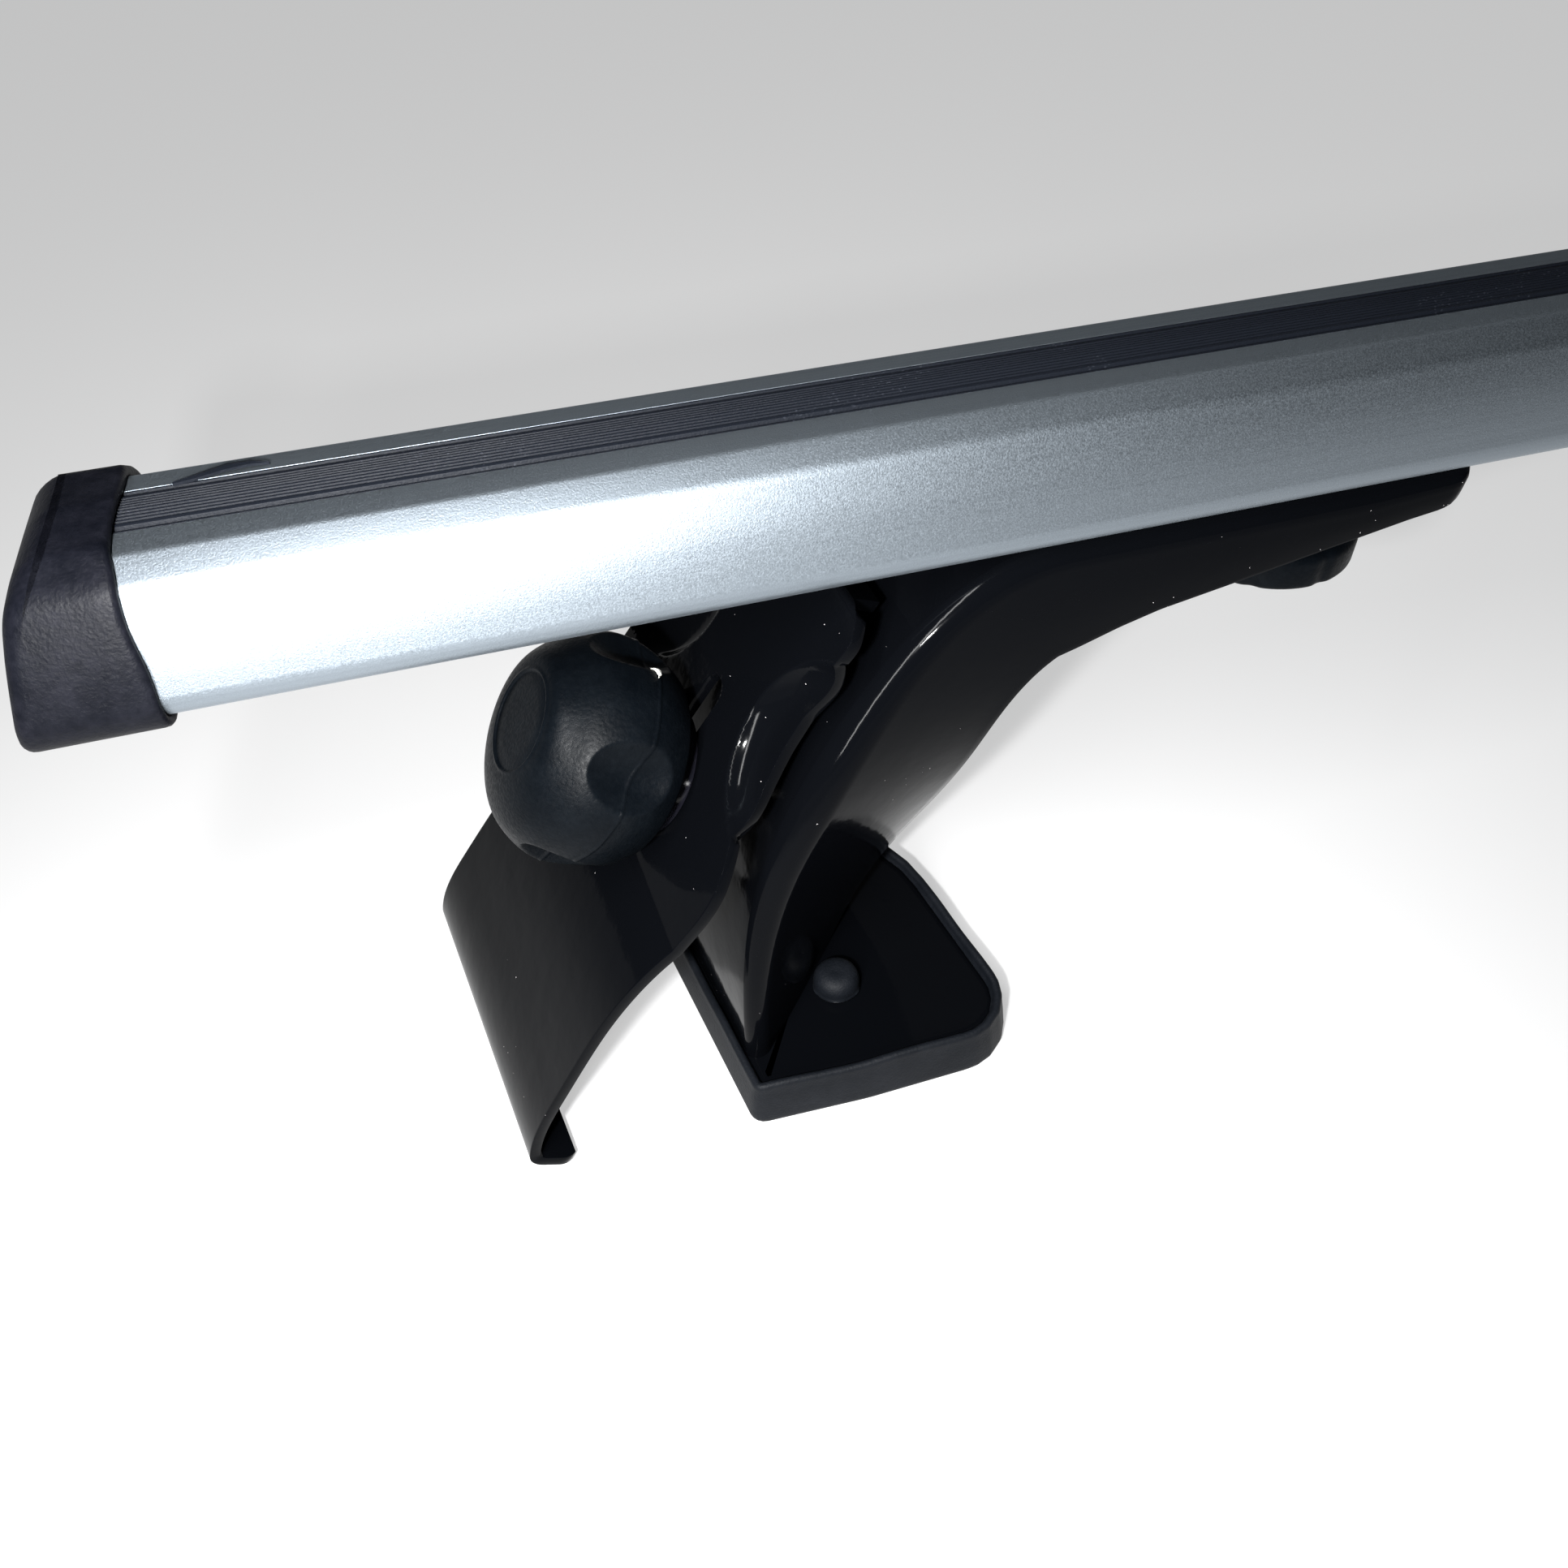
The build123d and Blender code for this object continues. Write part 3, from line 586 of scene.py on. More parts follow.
# Feet: pressed and welded steel in glossy black enamel. A trough runs under the bar, turns
# down in a neck and ends on a flat base plate that sits in the rubber pad.
enamel = marked_finish(
    "black_enamel",
    roughness=0.2,
    specular=0.03,
    base=(0.0012, 0.0014, 0.0019),
    marks=[
        (scuff_group, 85.0, 0.5, (0.008, 0.0085, 0.010)),
        (speck_group, 260.0, 0.034, (0.42, 0.40, 0.40)),
    ],
    grain=(95.0, 0.10, 0.0012),
    shine=("marks", 0.0, 0.5, (0.09, 0.3)),
)

foot_x = -475.0
neck_start_x = -382.0
channel_end_x = -279.0
channel_top = 160.7
plate_top = 13.0
neck_height = channel_top - plate_top
channel_half = 25.0
channel_edge_half = 24.0
web_spread = 17.5
web_swell = 4.0
edge_narrowing = 20.0
sheet_thickness = 3.0
base_skew = 9.0
base_lean = 5.6


def eased_curve(points, start_way, end_way, count):
    """Smooth curve through the points with set end directions, evenly spaced."""
    knots = np.array(points, float)
    steps = np.linalg.norm(np.diff(knots, axis=0), axis=1)
    size = len(knots)
    matrix = np.eye(size)
    slopes = np.zeros_like(knots)
    slopes[0] = start_way / np.linalg.norm(start_way)
    slopes[-1] = end_way / np.linalg.norm(end_way)
    for row in range(1, size - 1):
        matrix[row, row - 1] = 1 / steps[row - 1]
        matrix[row, row] = 2 / steps[row - 1] + 2 / steps[row]
        matrix[row, row + 1] = 1 / steps[row]
        slopes[row] = 3 * (knots[row] - knots[row - 1]) / steps[row - 1] ** 2
        slopes[row] += 3 * (knots[row + 1] - knots[row]) / steps[row] ** 2
    slopes = np.linalg.solve(matrix, slopes)
    drawn = []
    for row in range(size - 1):
        share = np.linspace(0, 1, 120, endpoint=row == size - 2)[:, None]
        drawn.append(
            (2 * share**3 - 3 * share**2 + 1) * knots[row]
            + (share**3 - 2 * share**2 + share) * slopes[row] * steps[row]
            + (3 * share**2 - 2 * share**3) * knots[row + 1]
            + (share**3 - share**2) * slopes[row + 1] * steps[row]
        )
    return even_points(np.concatenate(drawn), count, closed=False)


def eased(share):
    """Ease from 0 to 1 with flat ends."""
    return share * share * (3 - 2 * share)


neck_rows = 90
web_points = [(neck_start_x, channel_top), (foot_x + 41.5, plate_top + 0.79 * neck_height)]
web_points += [(foot_x + 13.6, plate_top + 0.49 * neck_height), (foot_x + 2.0, plate_top - 1.5)]
web_curve = eased_curve(web_points, (-1, 0), (0, -1), neck_rows)
edge_points = [(neck_start_x, channel_top - 31.0), (foot_x + 76.1, plate_top + 0.569 * neck_height)]
edge_points += [(foot_x + 63.6, plate_top + 0.2 * neck_height), (foot_x + 52.2, plate_top - 1.5)]
edge_curve = eased_curve(edge_points, (-1, -0.67), (-0.5, -1), neck_rows)


def arc(corner, radius, first, last, shares):
    """Points along an arc that starts from a corner of the section; angles from level."""
    points = []
    for share in shares:
        angle = first + (last - first) * share
        across = corner[0] + radius * (math.sin(angle) - math.sin(first))
        points.append((across, corner[1] + radius * (math.cos(first) - math.cos(angle))))
    return points


def trough_row(web_half, edge_half, depth, fold, shift=0.0):
    """Half-open section from the near free edge round the web to the far one."""
    lean = (web_half - edge_half) / depth
    final = math.pi / 2 + math.atan(lean)
    crease = math.radians(16)
    small = 1.2
    turn_x = small * math.sin(crease) + fold * (math.sin(final) - math.sin(crease))
    turn_z = small * (1 - math.cos(crease)) + fold * (math.cos(crease) - math.cos(final))
    start = web_half - lean * turn_z - turn_x
    half = [(start * share, 0.0) for share in np.linspace(0.0, 1.0, 9)]
    half += arc(half[-1], small, 0.0, crease, (0.5, 1.0))
    half += arc(half[-1], fold, crease, final, np.linspace(0.08, 1.0, 14))
    corner = half[-1]
    for share in np.linspace(0.08, 1.0, 14):
        swell = 0.7 * math.sin(math.pi * share) * min(1.0, depth / 45.0)
        across = corner[0] + (edge_half - corner[0]) * share + swell * math.sin(final)
        half.append((across, corner[1] + (depth - corner[1]) * share))
    near = [(-across, down) for across, down in reversed(half[1:])]
    return [(across + shift * down / depth, down) for across, down in near + half]


def rounded_off(from_end, radius):
    """How far a corner of this radius falls short at a distance from the end."""
    return radius - math.sqrt(max(0.0, radius**2 - max(0.0, radius - from_end) ** 2))


def thicken(piece):
    """Gives a sheet its thickness, behind its front face."""
    wall = piece.modifiers.new("wall", "SOLIDIFY")
    wall.thickness = sheet_thickness * millimetre
    wall.offset = -1.0


def soften(piece, width, angle):
    """Rounds the edges that turn more than an angle in degrees; width in millimetres."""
    bevel = piece.modifiers.new("soft_edge", "BEVEL")
    bevel.width = width * millimetre
    bevel.segments = 2
    bevel.angle_limit = math.radians(angle)


bracket_rows = []
depth_places = [0, 15, 35, 62, 78, 88, 98, 103]
depths = [8.6, 10.8, 14.6, 19.9, 22.9, 25.8, 29.4, 31.0]
for share in (0.0, 0.006, 0.016, *np.linspace(0.03, 1.0, 64)):
    from_end = (channel_end_x - neck_start_x) * share
    along = channel_end_x - from_end
    depth = np.interp(from_end, depth_places, depths) - rounded_off(from_end, 8.0) * 0.85
    narrower = rounded_off(from_end, 5.5)
    fold = min(6.0, max(depth - 1.0, 1.0) * 0.5)
    halves = (channel_half - narrower, channel_edge_half - narrower)
    row = trough_row(*halves, max(depth, 2.2), fold)
    bracket_rows.append([(along, across, channel_top - down) for across, down in row])
for index in range(1, neck_rows):
    share = index / (neck_rows - 1)
    turn = math.radians(base_skew) * eased(share)
    web, edge = (np.insert(curve[index], 1, 0.0) for curve in (web_curve, edge_curve))
    depth = float(np.linalg.norm(edge - web))
    inward_x, _, inward_z = (edge - web) / depth
    inward = np.array([inward_x * math.cos(turn), inward_x * math.sin(turn), inward_z])
    side = np.array([-math.sin(turn), math.cos(turn), 0.0])
    swell = web_swell * math.exp(-(((share - 0.45) / 0.2) ** 2))
    web_half = channel_half + web_spread * eased(share) + swell
    edge_half = channel_edge_half - edge_narrowing * eased(share)
    fold = 6.0 + 2.2 * math.sin(math.pi * min(1.0, share * 1.1)) ** 2 - 1.5 * share
    row = trough_row(web_half, edge_half, depth, fold, base_lean * eased(share))
    bracket_rows.append([tuple(web + side * across + inward * down) for across, down in row])
bracket = skin_rings("enamelled_bracket_left", bracket_rows, enamel, closed=False)
if bracket.data.polygons[len(bracket_rows[0]) // 2].normal.z < 0:
    bracket.data.flip_normals()
thicken(bracket)
soften(bracket, 0.6, 60)
make_plain(bracket)

pad_skew = 8.5
pad_left = foot_x - 3.0
pad_corners = [
    (pad_left + pad_skew, -50.0),
    (pad_left + 42.0, -51.2),
    (pad_left + pad_skew + 85.0, -50.0),
    (pad_left - pad_skew + 85.0, 50.0),
    (pad_left - pad_skew, 50.0),
]
pad_ring = anticlockwise(even_points(rounded_outline(pad_corners, [4.5, 90.0, 18.0, 45.0, 4.5]), 220))


def level_row(ring, height):
    """The outline as a flat row of points at a height."""
    return np.column_stack([ring, np.zeros(len(ring)) + height])


def pad_row(out, height):
    """The pad's outline, moved outwards by an amount, as a flat row at a height."""
    return level_row(grown(pad_ring, out), height)


plate_inner = -7.0
plate_face = 12.75
plate_edge = 1.45
plate_rows = [pad_row(-4.9, 10.05)]
for turn in range(5):
    angle = math.radians(-90 + 45 * turn)
    out = -5.6 + plate_edge * math.cos(angle)
    plate_rows.append(pad_row(out, 11.5 + plate_edge * math.sin(angle)))
plate_rows.append(pad_row(plate_inner, plate_face))
plate_middle = pad_ring.mean(axis=0)
for shrink in (0.8, 0.5, 0.2):
    ring = plate_middle + (grown(pad_ring, plate_inner) - plate_middle) * shrink
    plate_rows.append(level_row(ring, plate_face))
plate = skin_rings("base_plate", plate_rows, enamel, crease=math.radians(50))


def join_pieces(first, other):
    """One mesh from two pieces that are welded or moulded together in the real one."""
    joined = bmesh.new()
    joined.from_mesh(first.data)
    joined.from_mesh(other.data)
    joined.to_mesh(first.data)
    joined.free()
    bpy.data.objects.remove(other)


join_pieces(bracket, plate)
fit_pair(bracket, "foot_bracket", "foot")


# Roof pads: soft grey-black rubber trays under the base plates. The wall spreads towards
# the roof, the rim has a raised lip, and two nipples pull through the plate to hold it.
pad_rubber = marked_finish(
    "pad_rubber",
    roughness=0.6,
    specular=0.12,
    base=(0.0020, 0.0028, 0.0043),
    marks=[(scuff_group, 70.0, 1.2, (0.0125, 0.0140, 0.0180))],
    grain=(1500.0, 0.5, 0.0003),
)

pad_wave = 0.35 * np.sin(pad_ring[:, 0] * 0.16) + 0.25 * np.sin(pad_ring[:, 1] * 0.23 + 1.0)
lip_radius = 1.25
pad_rows = [pad_row(-2.2, 0.0), pad_row(-0.8, 0.0), pad_row(-0.1, 0.7), pad_row(0.1, 2.0)]
for share in np.linspace(0.15, 1.0, 6):
    pad_rows.append(pad_row(-1.5 * share**1.3, 2.0 + 11.4 * share + pad_wave * share))
for turn in range(7):
    angle = math.radians(30 * turn)
    out = -2.75 + lip_radius * math.cos(angle)
    pad_rows.append(pad_row(out, 14.3 + pad_wave + lip_radius * math.sin(angle)))
pad_rows += [pad_row(-4.05, 13.1), pad_row(-4.6, 12.6), pad_row(-4.75, 10.0), pad_row(-8.0, 9.9)]
pad = skin_rings("rubber_pad_left", pad_rows, pad_rubber, crease=math.radians(60))

nipple_outline = [(4.4, 10.0), (4.4, 12.7), (6.2, 12.85), (6.9, 13.2), (7.05, 14.2), (6.85, 14.5)]
nipple_outline += [(7.0, 15.4), (6.8, 17.0), (6.1, 18.6), (4.9, 19.6), (3.2, 20.05), (1.4, 20.0)]
nipple_outline += [(0.5, 19.85)]


def turns_round(count):
    """Even turns right round, in radians."""
    return np.linspace(0, 2 * math.pi, count, endpoint=False)


def round_row(turns, radii, middle, height):
    """A flat row of points round a middle, with a radius for each turn."""
    ring = np.stack([np.cos(turns), np.sin(turns)], axis=1) * radii[:, None]
    return level_row(ring + np.array(middle), height)


around = turns_round(48)
for number, middle in enumerate(((-435.56, -18.86), (-444.51, 37.64))):
    rows = []
    for radius, height in nipple_outline:
        flash = 0.35 * np.exp(-(((height - 14.2) / 0.4) ** 2)) * np.sin(3 * around + 1) ** 2
        rows.append(round_row(around, radius + flash, middle, height))
    join_pieces(pad, skin_rings(f"nipple_{number}", rows, pad_rubber, crease=math.radians(70)))
fit_pair(pad, "foot_pad", "foot")


# Clamp straps: one sheet, folded under the channel, straight behind the knob, bowed below
# it and curled into a lip that hooks under the edge of the roof. Two half-moon dimples
# stiffen its sides, and a long slot lets it slide over the stud.
clamp_place = np.array([-477.694, -1.081, 99.029])
clamp_out = np.array([-0.794918, -0.063593, 0.603375])
clamp_across = np.array([-0.08, 1.0, 0.0]) / math.hypot(0.08, 1.0)
clamp_up = np.cross(clamp_across, clamp_out)
strap_slope = math.radians(37.2)
strap_top = np.array([-434.7, 155.7])
elbow_drop = 18.8 * np.array([math.sin(strap_slope), math.cos(strap_slope)])
strap_elbow = clamp_place[::2] - elbow_drop
hook_place = np.array([foot_x - 65.0, 11.0])
clamp_skew = 0.08
hook_skew = 0.17
fold_reach = 12.0
fold_radius = 1.5
curl_reach = 6.26
lip_reach = 9.0
strap_reach = 48.0
strap_columns = 170


def strap_line(across):
    """Front face of the strap's sheet at one distance across it, from fold to lip."""
    corner = strap_top - (clamp_skew * across, 0.0)
    elbow = strap_elbow - (clamp_skew * across, 0.0)
    hook = hook_place - (hook_skew * across, 0.0)
    bow = elbow + (hook - elbow) * (0.76, 0.66)
    inward = np.array([math.cos(strap_slope), -math.sin(strap_slope)])
    downward = (elbow - corner) / np.linalg.norm(elbow - corner)
    line = [corner + inward * reach for reach in np.linspace(fold_reach, fold_radius, 6)]
    for share in np.linspace(0.15, 1.0, 5):
        angle = share * math.pi / 2
        bend = inward * (1 - math.sin(angle)) + downward * (1 - math.cos(angle))
        line.append(corner + bend * fold_radius)
    start = line[-1]
    line += [start + (elbow - start) * share for share in np.linspace(0.01, 0.99, 96)]
    line += list(eased_curve([elbow, bow, hook], (-0.75, -0.6), (-0.2, -1.0), 60))
    chord = np.array([0.4472, -0.8944])
    enter = np.array([-0.1961, -0.9806])
    leave = 2 * enter.dot(chord) * chord - enter
    for share in np.linspace(0.15, 1.0, 8):
        way = enter + (leave - enter) * share * 0.5
        line.append(hook + way / np.linalg.norm(way) * curl_reach * share)
    tip = line[-1]
    line += [tip + leave * lip_reach * share for share in np.linspace(0.15, 1.0, 8)]
    return np.array(line)


def blurred(values, places, ends):
    """The values, each blended with its neighbours by a bell curve over the places."""
    weights = np.exp(-(places**2))
    padded = np.pad(values, len(places) // 2, mode=ends)
    return np.convolve(padded, weights / weights.sum(), mode="valid")


strap_heights = strap_line(0.0)[:, 1]
edge_heights = [-20, 0, 60, 84, 92, 96, 100, 104, 107.5, 111, 114.6, 118, 122, 126, 133, 140, 148]
edge_halves = [48, 48, 47.4, 47.6, 47.9, 47.6, 46.4, 43.6, 40.2, 36.6, 33.8, 31.4, 29.6, 28.2, 27.0]
edge_halves += [29.0, 30.2]
strap_halves = np.interp(strap_heights, edge_heights, edge_halves)
strap_halves[:16] = np.minimum(strap_halves[:16], np.linspace(18.0, 30.4, 16))
strap_halves[:8] = np.linspace(14.0, 22.0, 8)
strap_halves = blurred(strap_halves, np.linspace(-2, 2, 9), "edge")
tip_round = np.clip((np.arange(len(strap_halves)) - len(strap_halves) + 5) / 4, 0, 1)
strap_halves -= 2.0 * tip_round**2
far_halves = strap_halves + 16.0 * np.exp(-(((strap_heights - 116.0) / 13.0) ** 2))
far_halves = np.minimum(far_halves, strap_reach)
strap_grid = []
near_line = strap_line(-strap_reach)
far_line = strap_line(strap_reach)
for column in np.linspace(-1.0, 1.0, strap_columns):
    reach = (far_halves if column > 0 else strap_halves) * column
    share = (reach[:, None] + strap_reach) / (2 * strap_reach)
    flat = near_line + (far_line - near_line) * share
    strap_grid.append(np.stack([flat[:, 0], reach, flat[:, 1]], axis=1))
strap_grid = np.array(strap_grid).transpose(1, 0, 2)

dimple_up = 36.5
dimple_across = 41.4
dimple_radius = 24.4
dimple_depth = 5.2
for side in (-1, 1):
    dimple = clamp_place + clamp_up * dimple_up + clamp_across * side * dimple_across
    away = strap_grid - dimple
    along = away @ clamp_out
    spread = np.sqrt(np.maximum((away**2).sum(axis=2) - along**2, 0.0))
    spread = np.minimum(spread, dimple_radius)
    bowl = dimple_depth * (1 - (spread / dimple_radius) ** 9) - 0.012 * spread
    bowl = np.clip(bowl + 0.3, 0, None)
    bowl = np.sqrt(bowl**2 + 0.09) - 0.3
    bowl[np.abs(along) > 6.0] = 0.0
    strap_grid = strap_grid - bowl[:, :, None] * clamp_out
strap = skin_rings("enamelled_strap_left", strap_grid, enamel, closed=False)
if strap.data.polygons[60 * (strap_columns - 1) + 60].normal.dot(Vector(clamp_out)) < 0:
    strap.data.flip_normals()
thicken(strap)
soften(strap, 0.5, 55)
make_plain(strap)

slot_radius = 4.5
slot_outline = []
for middle, first in ((-8.0, 180), (26.0, 0)):
    for turn in range(13):
        angle = math.radians(first + 15 * turn)
        high = middle + slot_radius * math.sin(angle)
        slot_outline.append(clamp_across * slot_radius * math.cos(angle) + clamp_up * high)
slot_rows = [clamp_place + np.array(slot_outline) + clamp_out * depth for depth in (6.0, -9.0)]
slot_cutter = skin_rings("slot_cutter", slot_rows, enamel)
cut = strap.modifiers.new("stud_slot", "BOOLEAN")
cut.operation = "DIFFERENCE"
cut.object = slot_cutter
cut.solver = "EXACT"
soften(strap, 0.7, 50)
make_plain(strap)
bpy.data.objects.remove(slot_cutter)
fit_pair(strap, "clamp_strap", "strap")


# Hand knobs: turned-over bulb of matt black plastic with five thumb hollows, a ring on its
# face and a thin wavy line of flash where the two halves of the mould met.
knob_plastic = marked_finish(
    "knob_plastic",
    roughness=0.42,
    specular=0.05,
    base=(0.0008, 0.0013, 0.0020),
    marks=[(scuff_group, 90.0, 1.25, (0.0050, 0.0066, 0.0085))],
    grain=(1100.0, 0.26, 0.0004),
    shine=("grain", 0.3, 0.7, (0.33, 0.50)),
)

knob_sides = 280
hollow_turns = np.radians([26, 98, 170, 242, 314])
hollow_half = 8.8
hollow_half_height = 10.8
hollow_middle = 22.4
hollow_deep = 4.9
knob_flank = eased_curve(
    [(13.6, 41.3), (22.6, 36.6), (29.4, 22.0), (25.0, 7.8)], (1.0, -0.1), (-0.6, -1.0), 100
)
knob_face = [(0.4, 41.2), (4.0, 41.2), (8.0, 41.2), (11.6, 41.2), (11.9, 41.05), (12.15, 41.3)]
knob_face += [(12.4, 41.6), (12.7, 41.62), (13.0, 41.4)]
knob_back = [(24.2, 7.1), (23.4, 7.0), (12.0, 7.0), (7.5, 7.0), (7.5, 21.0), (4.4, 21.0)]
knob_back += [(4.4, 36.0), (0.4, 36.0)]
knob_line = knob_face + [tuple(point) for point in knob_flank] + knob_back


def seam_height(turns):
    """Height of the mould's parting line on the knob."""
    return 20.8 - 3.0 * np.sin(turns - 0.56) + 0.25 * np.sin(7 * turns)


def hollow_depth(turns, radius, height):
    """How deep the five thumb hollows are at a place on the knob's flank."""
    hollow = np.zeros(len(turns))
    for middle in hollow_turns:
        turn = (turns - middle + math.pi) % (2 * math.pi) - math.pi
        spread = np.hypot(turn * radius / hollow_half, (height - hollow_middle) / hollow_half_height)
        bowl = np.clip(1 - spread**2, 0, None)
        hollow = np.maximum(hollow, hollow_deep * (np.sqrt(bowl**2 + 0.004) - 0.063))
    return hollow


around = turns_round(knob_sides)
knob_rows = []
for radius, height in knob_line:
    hollow = np.zeros(knob_sides)
    flash = np.zeros(knob_sides)
    if radius > 14.0 and height > 7.5:
        hollow = hollow_depth(around, radius, height)
        flash = 0.34 * np.exp(-(((height - seam_height(around)) / 0.3) ** 2))
    off_middle = eased(min(1.0, max(0.0, (24.0 - radius) / 10.0))) if height > 30 else 0.0
    middle = clamp_place + clamp_out * height
    middle = middle + (clamp_up * 3.6 - clamp_across * 1.0) * off_middle
    ring = radius - hollow + flash
    spokes = np.outer(np.cos(around), -clamp_across) + np.outer(np.sin(around), clamp_up)
    knob_rows.append(middle + spokes * ring[:, None])
knob = skin_rings("moulded_knob_left", knob_rows, knob_plastic, crease=math.radians(75))
fit_pair(knob, "clamp_knob", "knob")

# A sliver of flash that has torn off the left knob's seam and left a whitened edge
torn_plastic, tree, surface, place = new_finish("torn_plastic", 0.0, 0.7)
surface.inputs["Base Color"].default_value = (0.46, 0.46, 0.43, 1.0)
torn_grain = place_group(tree, grain_group, place, 900.0)
link_bump(tree, surface, torn_grain.outputs["Height"], 0.8, 0.0004)
sliver_rows = []
for share in np.linspace(0, 1, 21):
    turn = math.radians(87 - 10 * share)
    width = 0.15 + 0.8 * math.sin(math.pi * min(1.0, share * 1.1)) ** 0.8
    height = float(seam_height(turn)) + 0.8 + 0.5 * math.sin(6 * share)
    radius = float(np.interp(-height, -knob_flank[:, 1], knob_flank[:, 0]))
    reach = radius - float(hollow_depth(np.array([turn]), radius, height)[0]) + 0.45
    spoke = -clamp_across * math.cos(turn) + clamp_up * math.sin(turn)
    loop = []
    for side in range(8):
        angle = math.radians(45 * side)
        lift = reach + (0.25 + 0.2 * width) * math.sin(angle)
        loop.append(clamp_place + clamp_out * (height + width * math.cos(angle)) + spoke * lift)
    sliver_rows.append(loop)
sliver = skin_rings("torn_flash_sliver", sliver_rows, torn_plastic)
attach(sliver, "knob_left")


# Clamp hardware: a zinc coach bolt stands on a boss welded inside the neck and passes
# through the strap, a glossy collar and the brass insert that is moulded into the knob.
def turned(name, profile, finish, place, axis, sides=96, crease=math.radians(40), looped=True):
    """Body turned about an axis; the profile holds (radius, height) in millimetres."""
    axis = np.array(axis, float)
    first = np.cross(axis, (0.0, 1.0, 0.0))
    first /= np.linalg.norm(first)
    second = np.cross(axis, first)
    turns = turns_round(sides)
    spokes = np.outer(np.cos(turns), first) + np.outer(np.sin(turns), second)
    rows = [np.array(place) + axis * high + spokes * reach for reach, high in profile]
    return skin_rings(name, rows, finish, crease=crease, looped=looped)


def metal(name, colour, roughness):
    """Plated or turned metal with fine grain and duller patches."""
    marks = [(scuff_group, 120.0, 1.1, tuple(0.55 * value for value in colour))]
    return marked_finish(name, roughness, 0.5, colour, marks, (900.0, 0.3, 0.0002), metallic=1.0)


zinc = metal("zinc_plate", (0.62, 0.62, 0.60), 0.34)
brass = metal("brass", (0.72, 0.52, 0.22), 0.3)
collar_dust = [(speck_group, 420.0, 0.07, (0.3, 0.3, 0.32))]
collar_gloss = marked_finish("collar_gloss", 0.12, 0.5, (0.006, 0.006, 0.009), collar_dust)

collar_profile = [(4.4, 0.0), (16.9, 0.0), (17.4, 0.25), (17.5, 0.8), (17.5, 5.8), (17.3, 6.5)]
collar_profile += [(16.8, 6.9), (16.3, 7.0), (4.4, 7.0)]
collar = turned("gloss_collar_left", collar_profile, collar_gloss, clamp_place, clamp_out)
fit_pair(collar, "clamp_washer", "strap")

insert_profile = [(4.05, 7.3), (7.2, 7.3), (7.5, 7.6), (7.5, 20.7), (7.2, 21.0), (4.05, 21.0)]
insert = turned("brass_insert_left", insert_profile, brass, clamp_place, clamp_out)
fit_pair(insert, "knob_insert", "knob")

thread_numbers = ("Turns", "Length", "Root Radius", "Ridge")
thread_tree, given = piece_tree("threaded_shank", "Core", thread_numbers)
nodes = thread_tree.nodes
spiral = nodes.new("GeometryNodeCurveSpiral")
spiral.inputs["Resolution"].default_value = 22
upright = nodes.new("GeometryNodeSetCurveNormal")
upright.mode = "Z_UP"
ridge = nodes.new("GeometryNodeCurvePrimitiveCircle")
ridge.inputs["Resolution"].default_value = 4
swept = nodes.new("GeometryNodeCurveToMesh")
swept.inputs["Fill Caps"].default_value = True
threaded_core = nodes.new("GeometryNodeJoinGeometry")
links = [
    (given, "Turns", spiral, "Rotations"),
    (given, "Length", spiral, "Height"),
    (given, "Root Radius", spiral, "Start Radius"),
    (given, "Root Radius", spiral, "End Radius"),
    (given, "Ridge", ridge, "Radius"),
    (spiral, "Curve", upright, "Curve"),
    (upright, "Curve", swept, "Curve"),
    (ridge, "Curve", swept, "Profile Curve"),
    (swept, "Mesh", threaded_core, "Geometry"),
    (given, "Core", threaded_core, "Geometry"),
]
link_all(thread_tree, links)
give_piece(thread_tree, given, threaded_core)


def threaded(name, profile, length, place, axis):
    """An M8 bolt: its profile starts where the thread does, and a ridge winds round it."""
    core = turned(name, profile, zinc, (0, 0, 0), upwards, sides=48, looped=False)
    run_tree(
        core,
        thread_tree,
        turns=length / thread_pitch,
        length=length * millimetre,
        root_radius=3.42 * millimetre,
        ridge=0.56 * millimetre,
        finish=zinc,
    )
    turn = Vector((0, 0, 1)).rotation_difference(Vector(axis)).to_matrix().to_4x4()
    core.data.transform(Matrix.Translation(Vector(place) * millimetre) @ turn)
    return core


thread_pitch = 1.25
upwards = (0.0, 0.0, 1.0)
stud_profile = [(0.3, -29.0), (4.6, -29.0), (6.6, -28.4), (7.9, -27.2), (8.45, -25.6), (8.5, -24.9)]
stud_profile += [(8.1, -24.5), (4.0, -24.5), (4.0, -11.0), (3.42, -10.2), (3.42, 29.4), (2.7, 30.0)]
stud_profile += [(0.3, 30.0)]
stud_start = -10.4
stud_profile = [(reach, high - stud_start) for reach, high in stud_profile]
stud_place = clamp_place + clamp_out * stud_start
stud = threaded("coach_bolt_left", stud_profile, 39.6, stud_place, clamp_out)
fit_pair(stud, "clamp_stud", "foot")

boss_profile = [(4.1, -24.5), (9.6, -24.5), (10.6, -24.1), (11.0, -23.1), (11.0, -16.4)]
boss_profile += [(10.6, -15.6), (10.0, -15.5), (4.1, -15.5)]
boss = turned("welded_boss_left", boss_profile, enamel, clamp_place, clamp_out)
fit_pair(boss, None, "foot")


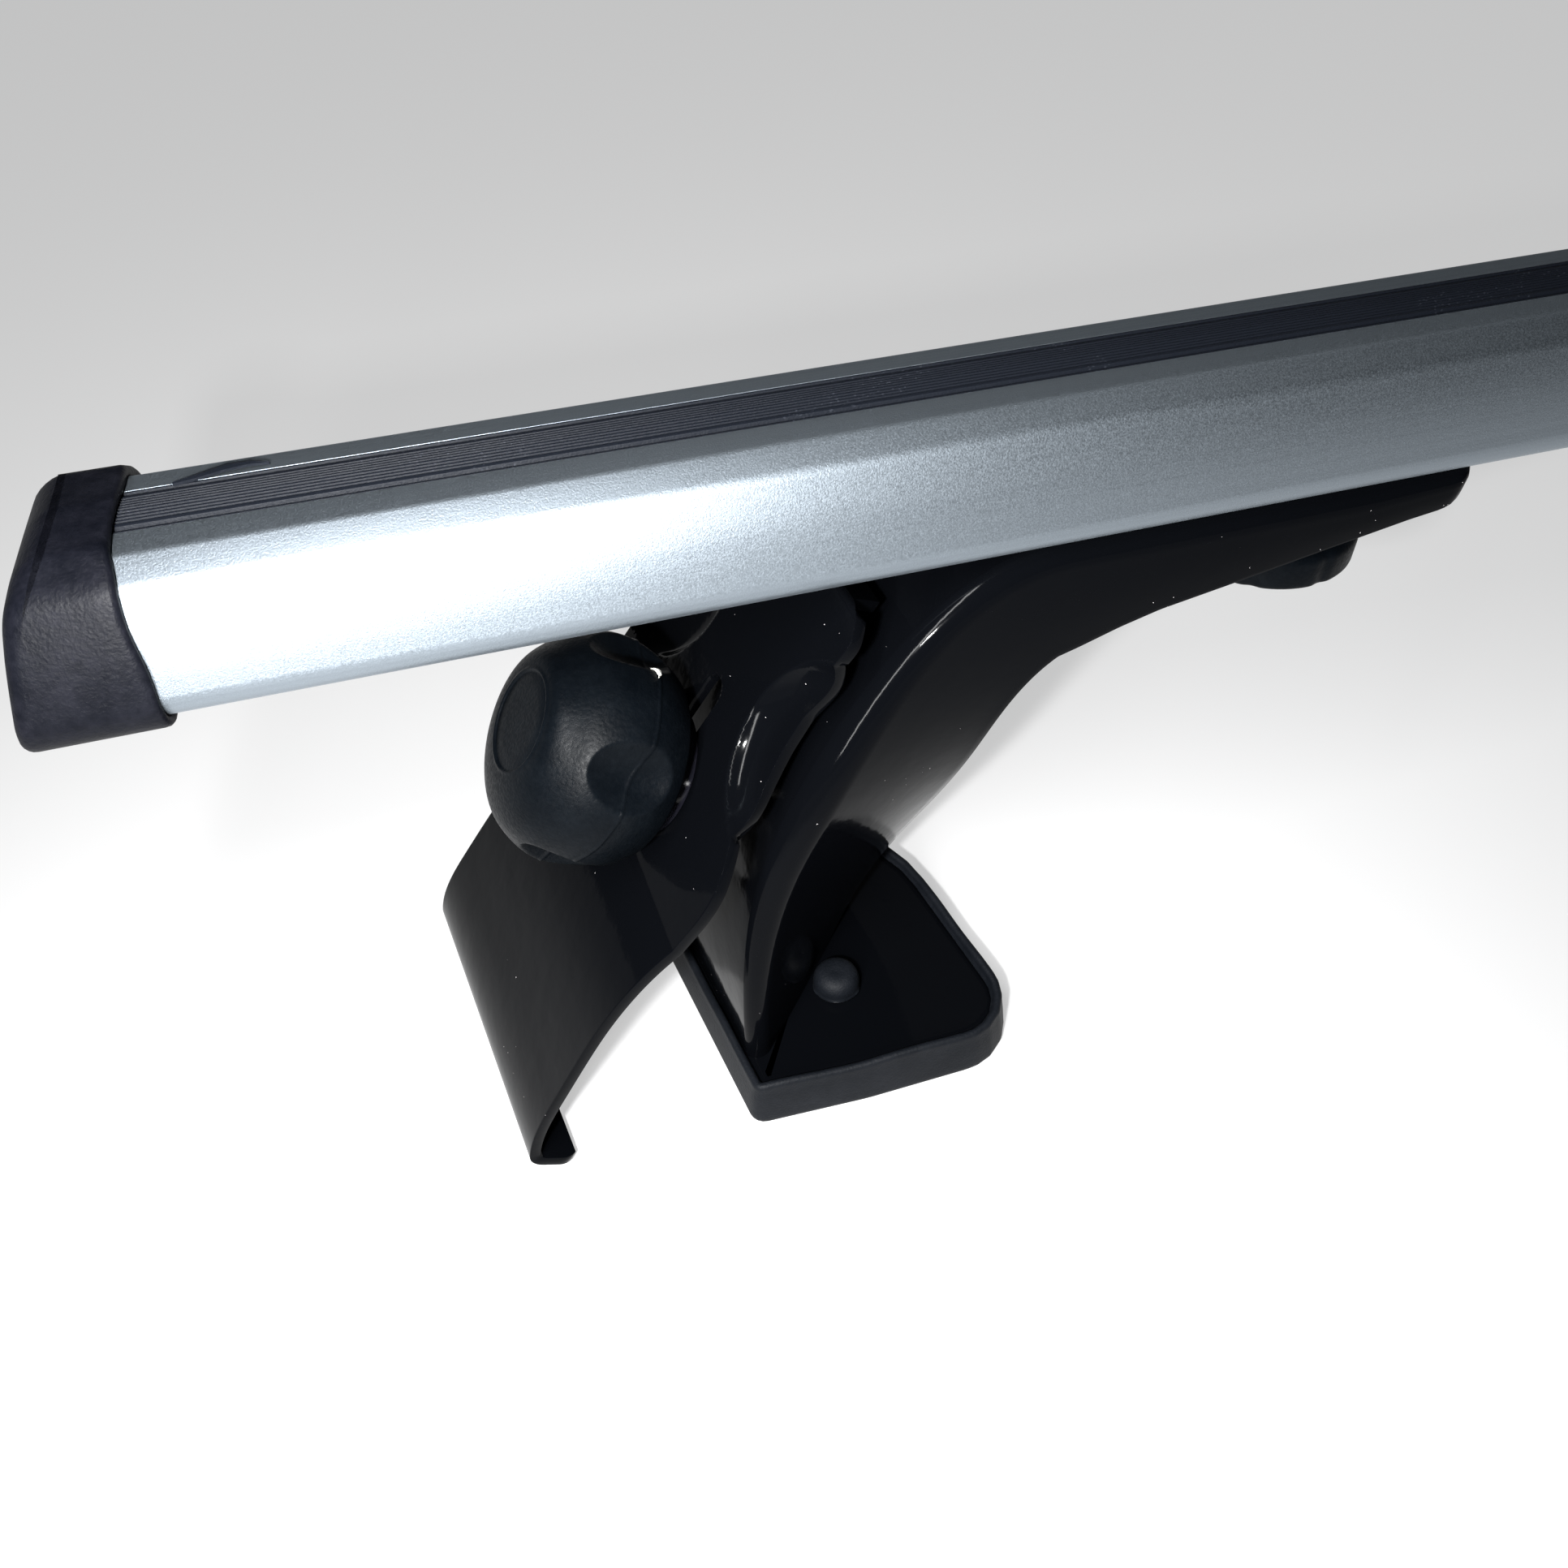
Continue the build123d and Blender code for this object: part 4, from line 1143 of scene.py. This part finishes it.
# Bar fixing: a square-headed bolt stands in the slot under the bar, goes down through the
# channel and a washer, and is pulled tight by a flat notched hand nut with a brass insert.
bolt_place = (-315.0, 0.0, 0.0)
bolt_low = 134.7
bolt_seat = 163.9
bolt_profile = [(0.3, 0.0), (2.8, 0.0), (3.42, 0.7), (3.42, bolt_seat - bolt_low)]
bolt_profile += [(0.3, bolt_seat - bolt_low)]
bolt = threaded("slot_bolt_left", bolt_profile, 28.0, (*bolt_place[:2], bolt_low), upwards)
head_half = 7.75
head_corners = head_half * np.array([(-1, -1), (1, -1), (1, 1), (-1, 1)])
head_ring = anticlockwise(np.array(rounded_outline(head_corners, [1.5] * 4)))
head_rows = []
for inset, rise in ((0.5, 0.0), (0.0, 0.5), (0.0, 4.2), (0.8, 5.0)):
    ring = grown(head_ring, -inset) + np.array(bolt_place[:2])
    head_rows.append(level_row(ring, bolt_seat + rise))
join_pieces(bolt, skin_rings("bolt_head", head_rows, zinc))
fit_pair(bolt, "bar_bolt", "foot")

washer_profile = [(4.4, 155.7), (10.7, 155.7), (11.0, 156.0), (11.0, 157.3), (10.7, 157.7)]
washer_profile += [(4.4, 157.7)]
washer = turned("plain_washer_left", washer_profile, zinc, bolt_place, upwards)
fit_pair(washer, "bar_washer", "nut_washer")

nut_round = turns_round(256)
notch_turn = (nut_round + 0.25) % (math.pi / 4) - math.pi / 8
notch_place = 25.7
notch_radius = 4.0
disc_radius = 22.3
inside = np.clip(notch_radius**2 - (notch_place * np.sin(notch_turn)) ** 2, 0, None)
notch_edge = notch_place * np.cos(notch_turn) - np.sqrt(inside)
disc_edge = np.where(inside > 0, np.minimum(disc_radius, notch_edge), disc_radius)
disc_edge = blurred(disc_edge, np.linspace(-1.6, 1.6, 7), "wrap")
nut_profile = [(4.4, 0, 143.7), (4.4, 0, 133.1), (9.0, 0, 133.1), (-1.5, 1, 133.12)]
nut_profile += [(-0.9, 1, 133.25), (-0.4, 1, 133.6), (-0.1, 1, 134.1), (0.0, 1, 134.7)]
nut_profile += [(0.0, 1, 140.2), (-0.3, 1, 141.2), (-1.1, 1, 142.0), (-2.2, 1, 142.5)]
nut_profile += [(-3.4, 1, 142.6), (12.0, 0, 142.7), (11.0, 0, 143.2), (10.6, 0, 144.2)]
nut_profile += [(10.5, 0, 154.9), (10.1, 0, 155.6), (9.6, 0, 155.7), (6.0, 0, 155.7), (6.0, 0, 143.7)]
nut_rows = []
for reach, notched, height in nut_profile:
    nut_rows.append(round_row(nut_round, reach + disc_edge * notched, bolt_place[:2], height))
nut = skin_rings("notched_hand_nut_left", nut_rows, knob_plastic, crease=math.radians(50), looped=True)
fit_pair(nut, "bar_nut", "hand_nut")

insert_profile = [(4.05, 143.7), (6.0, 143.7), (6.0, 155.2), (5.8, 155.4), (4.05, 155.4)]
insert = turned("nut_insert_brass_left", insert_profile, brass, bolt_place, upwards)
fit_pair(insert, "nut_insert", "hand_nut")
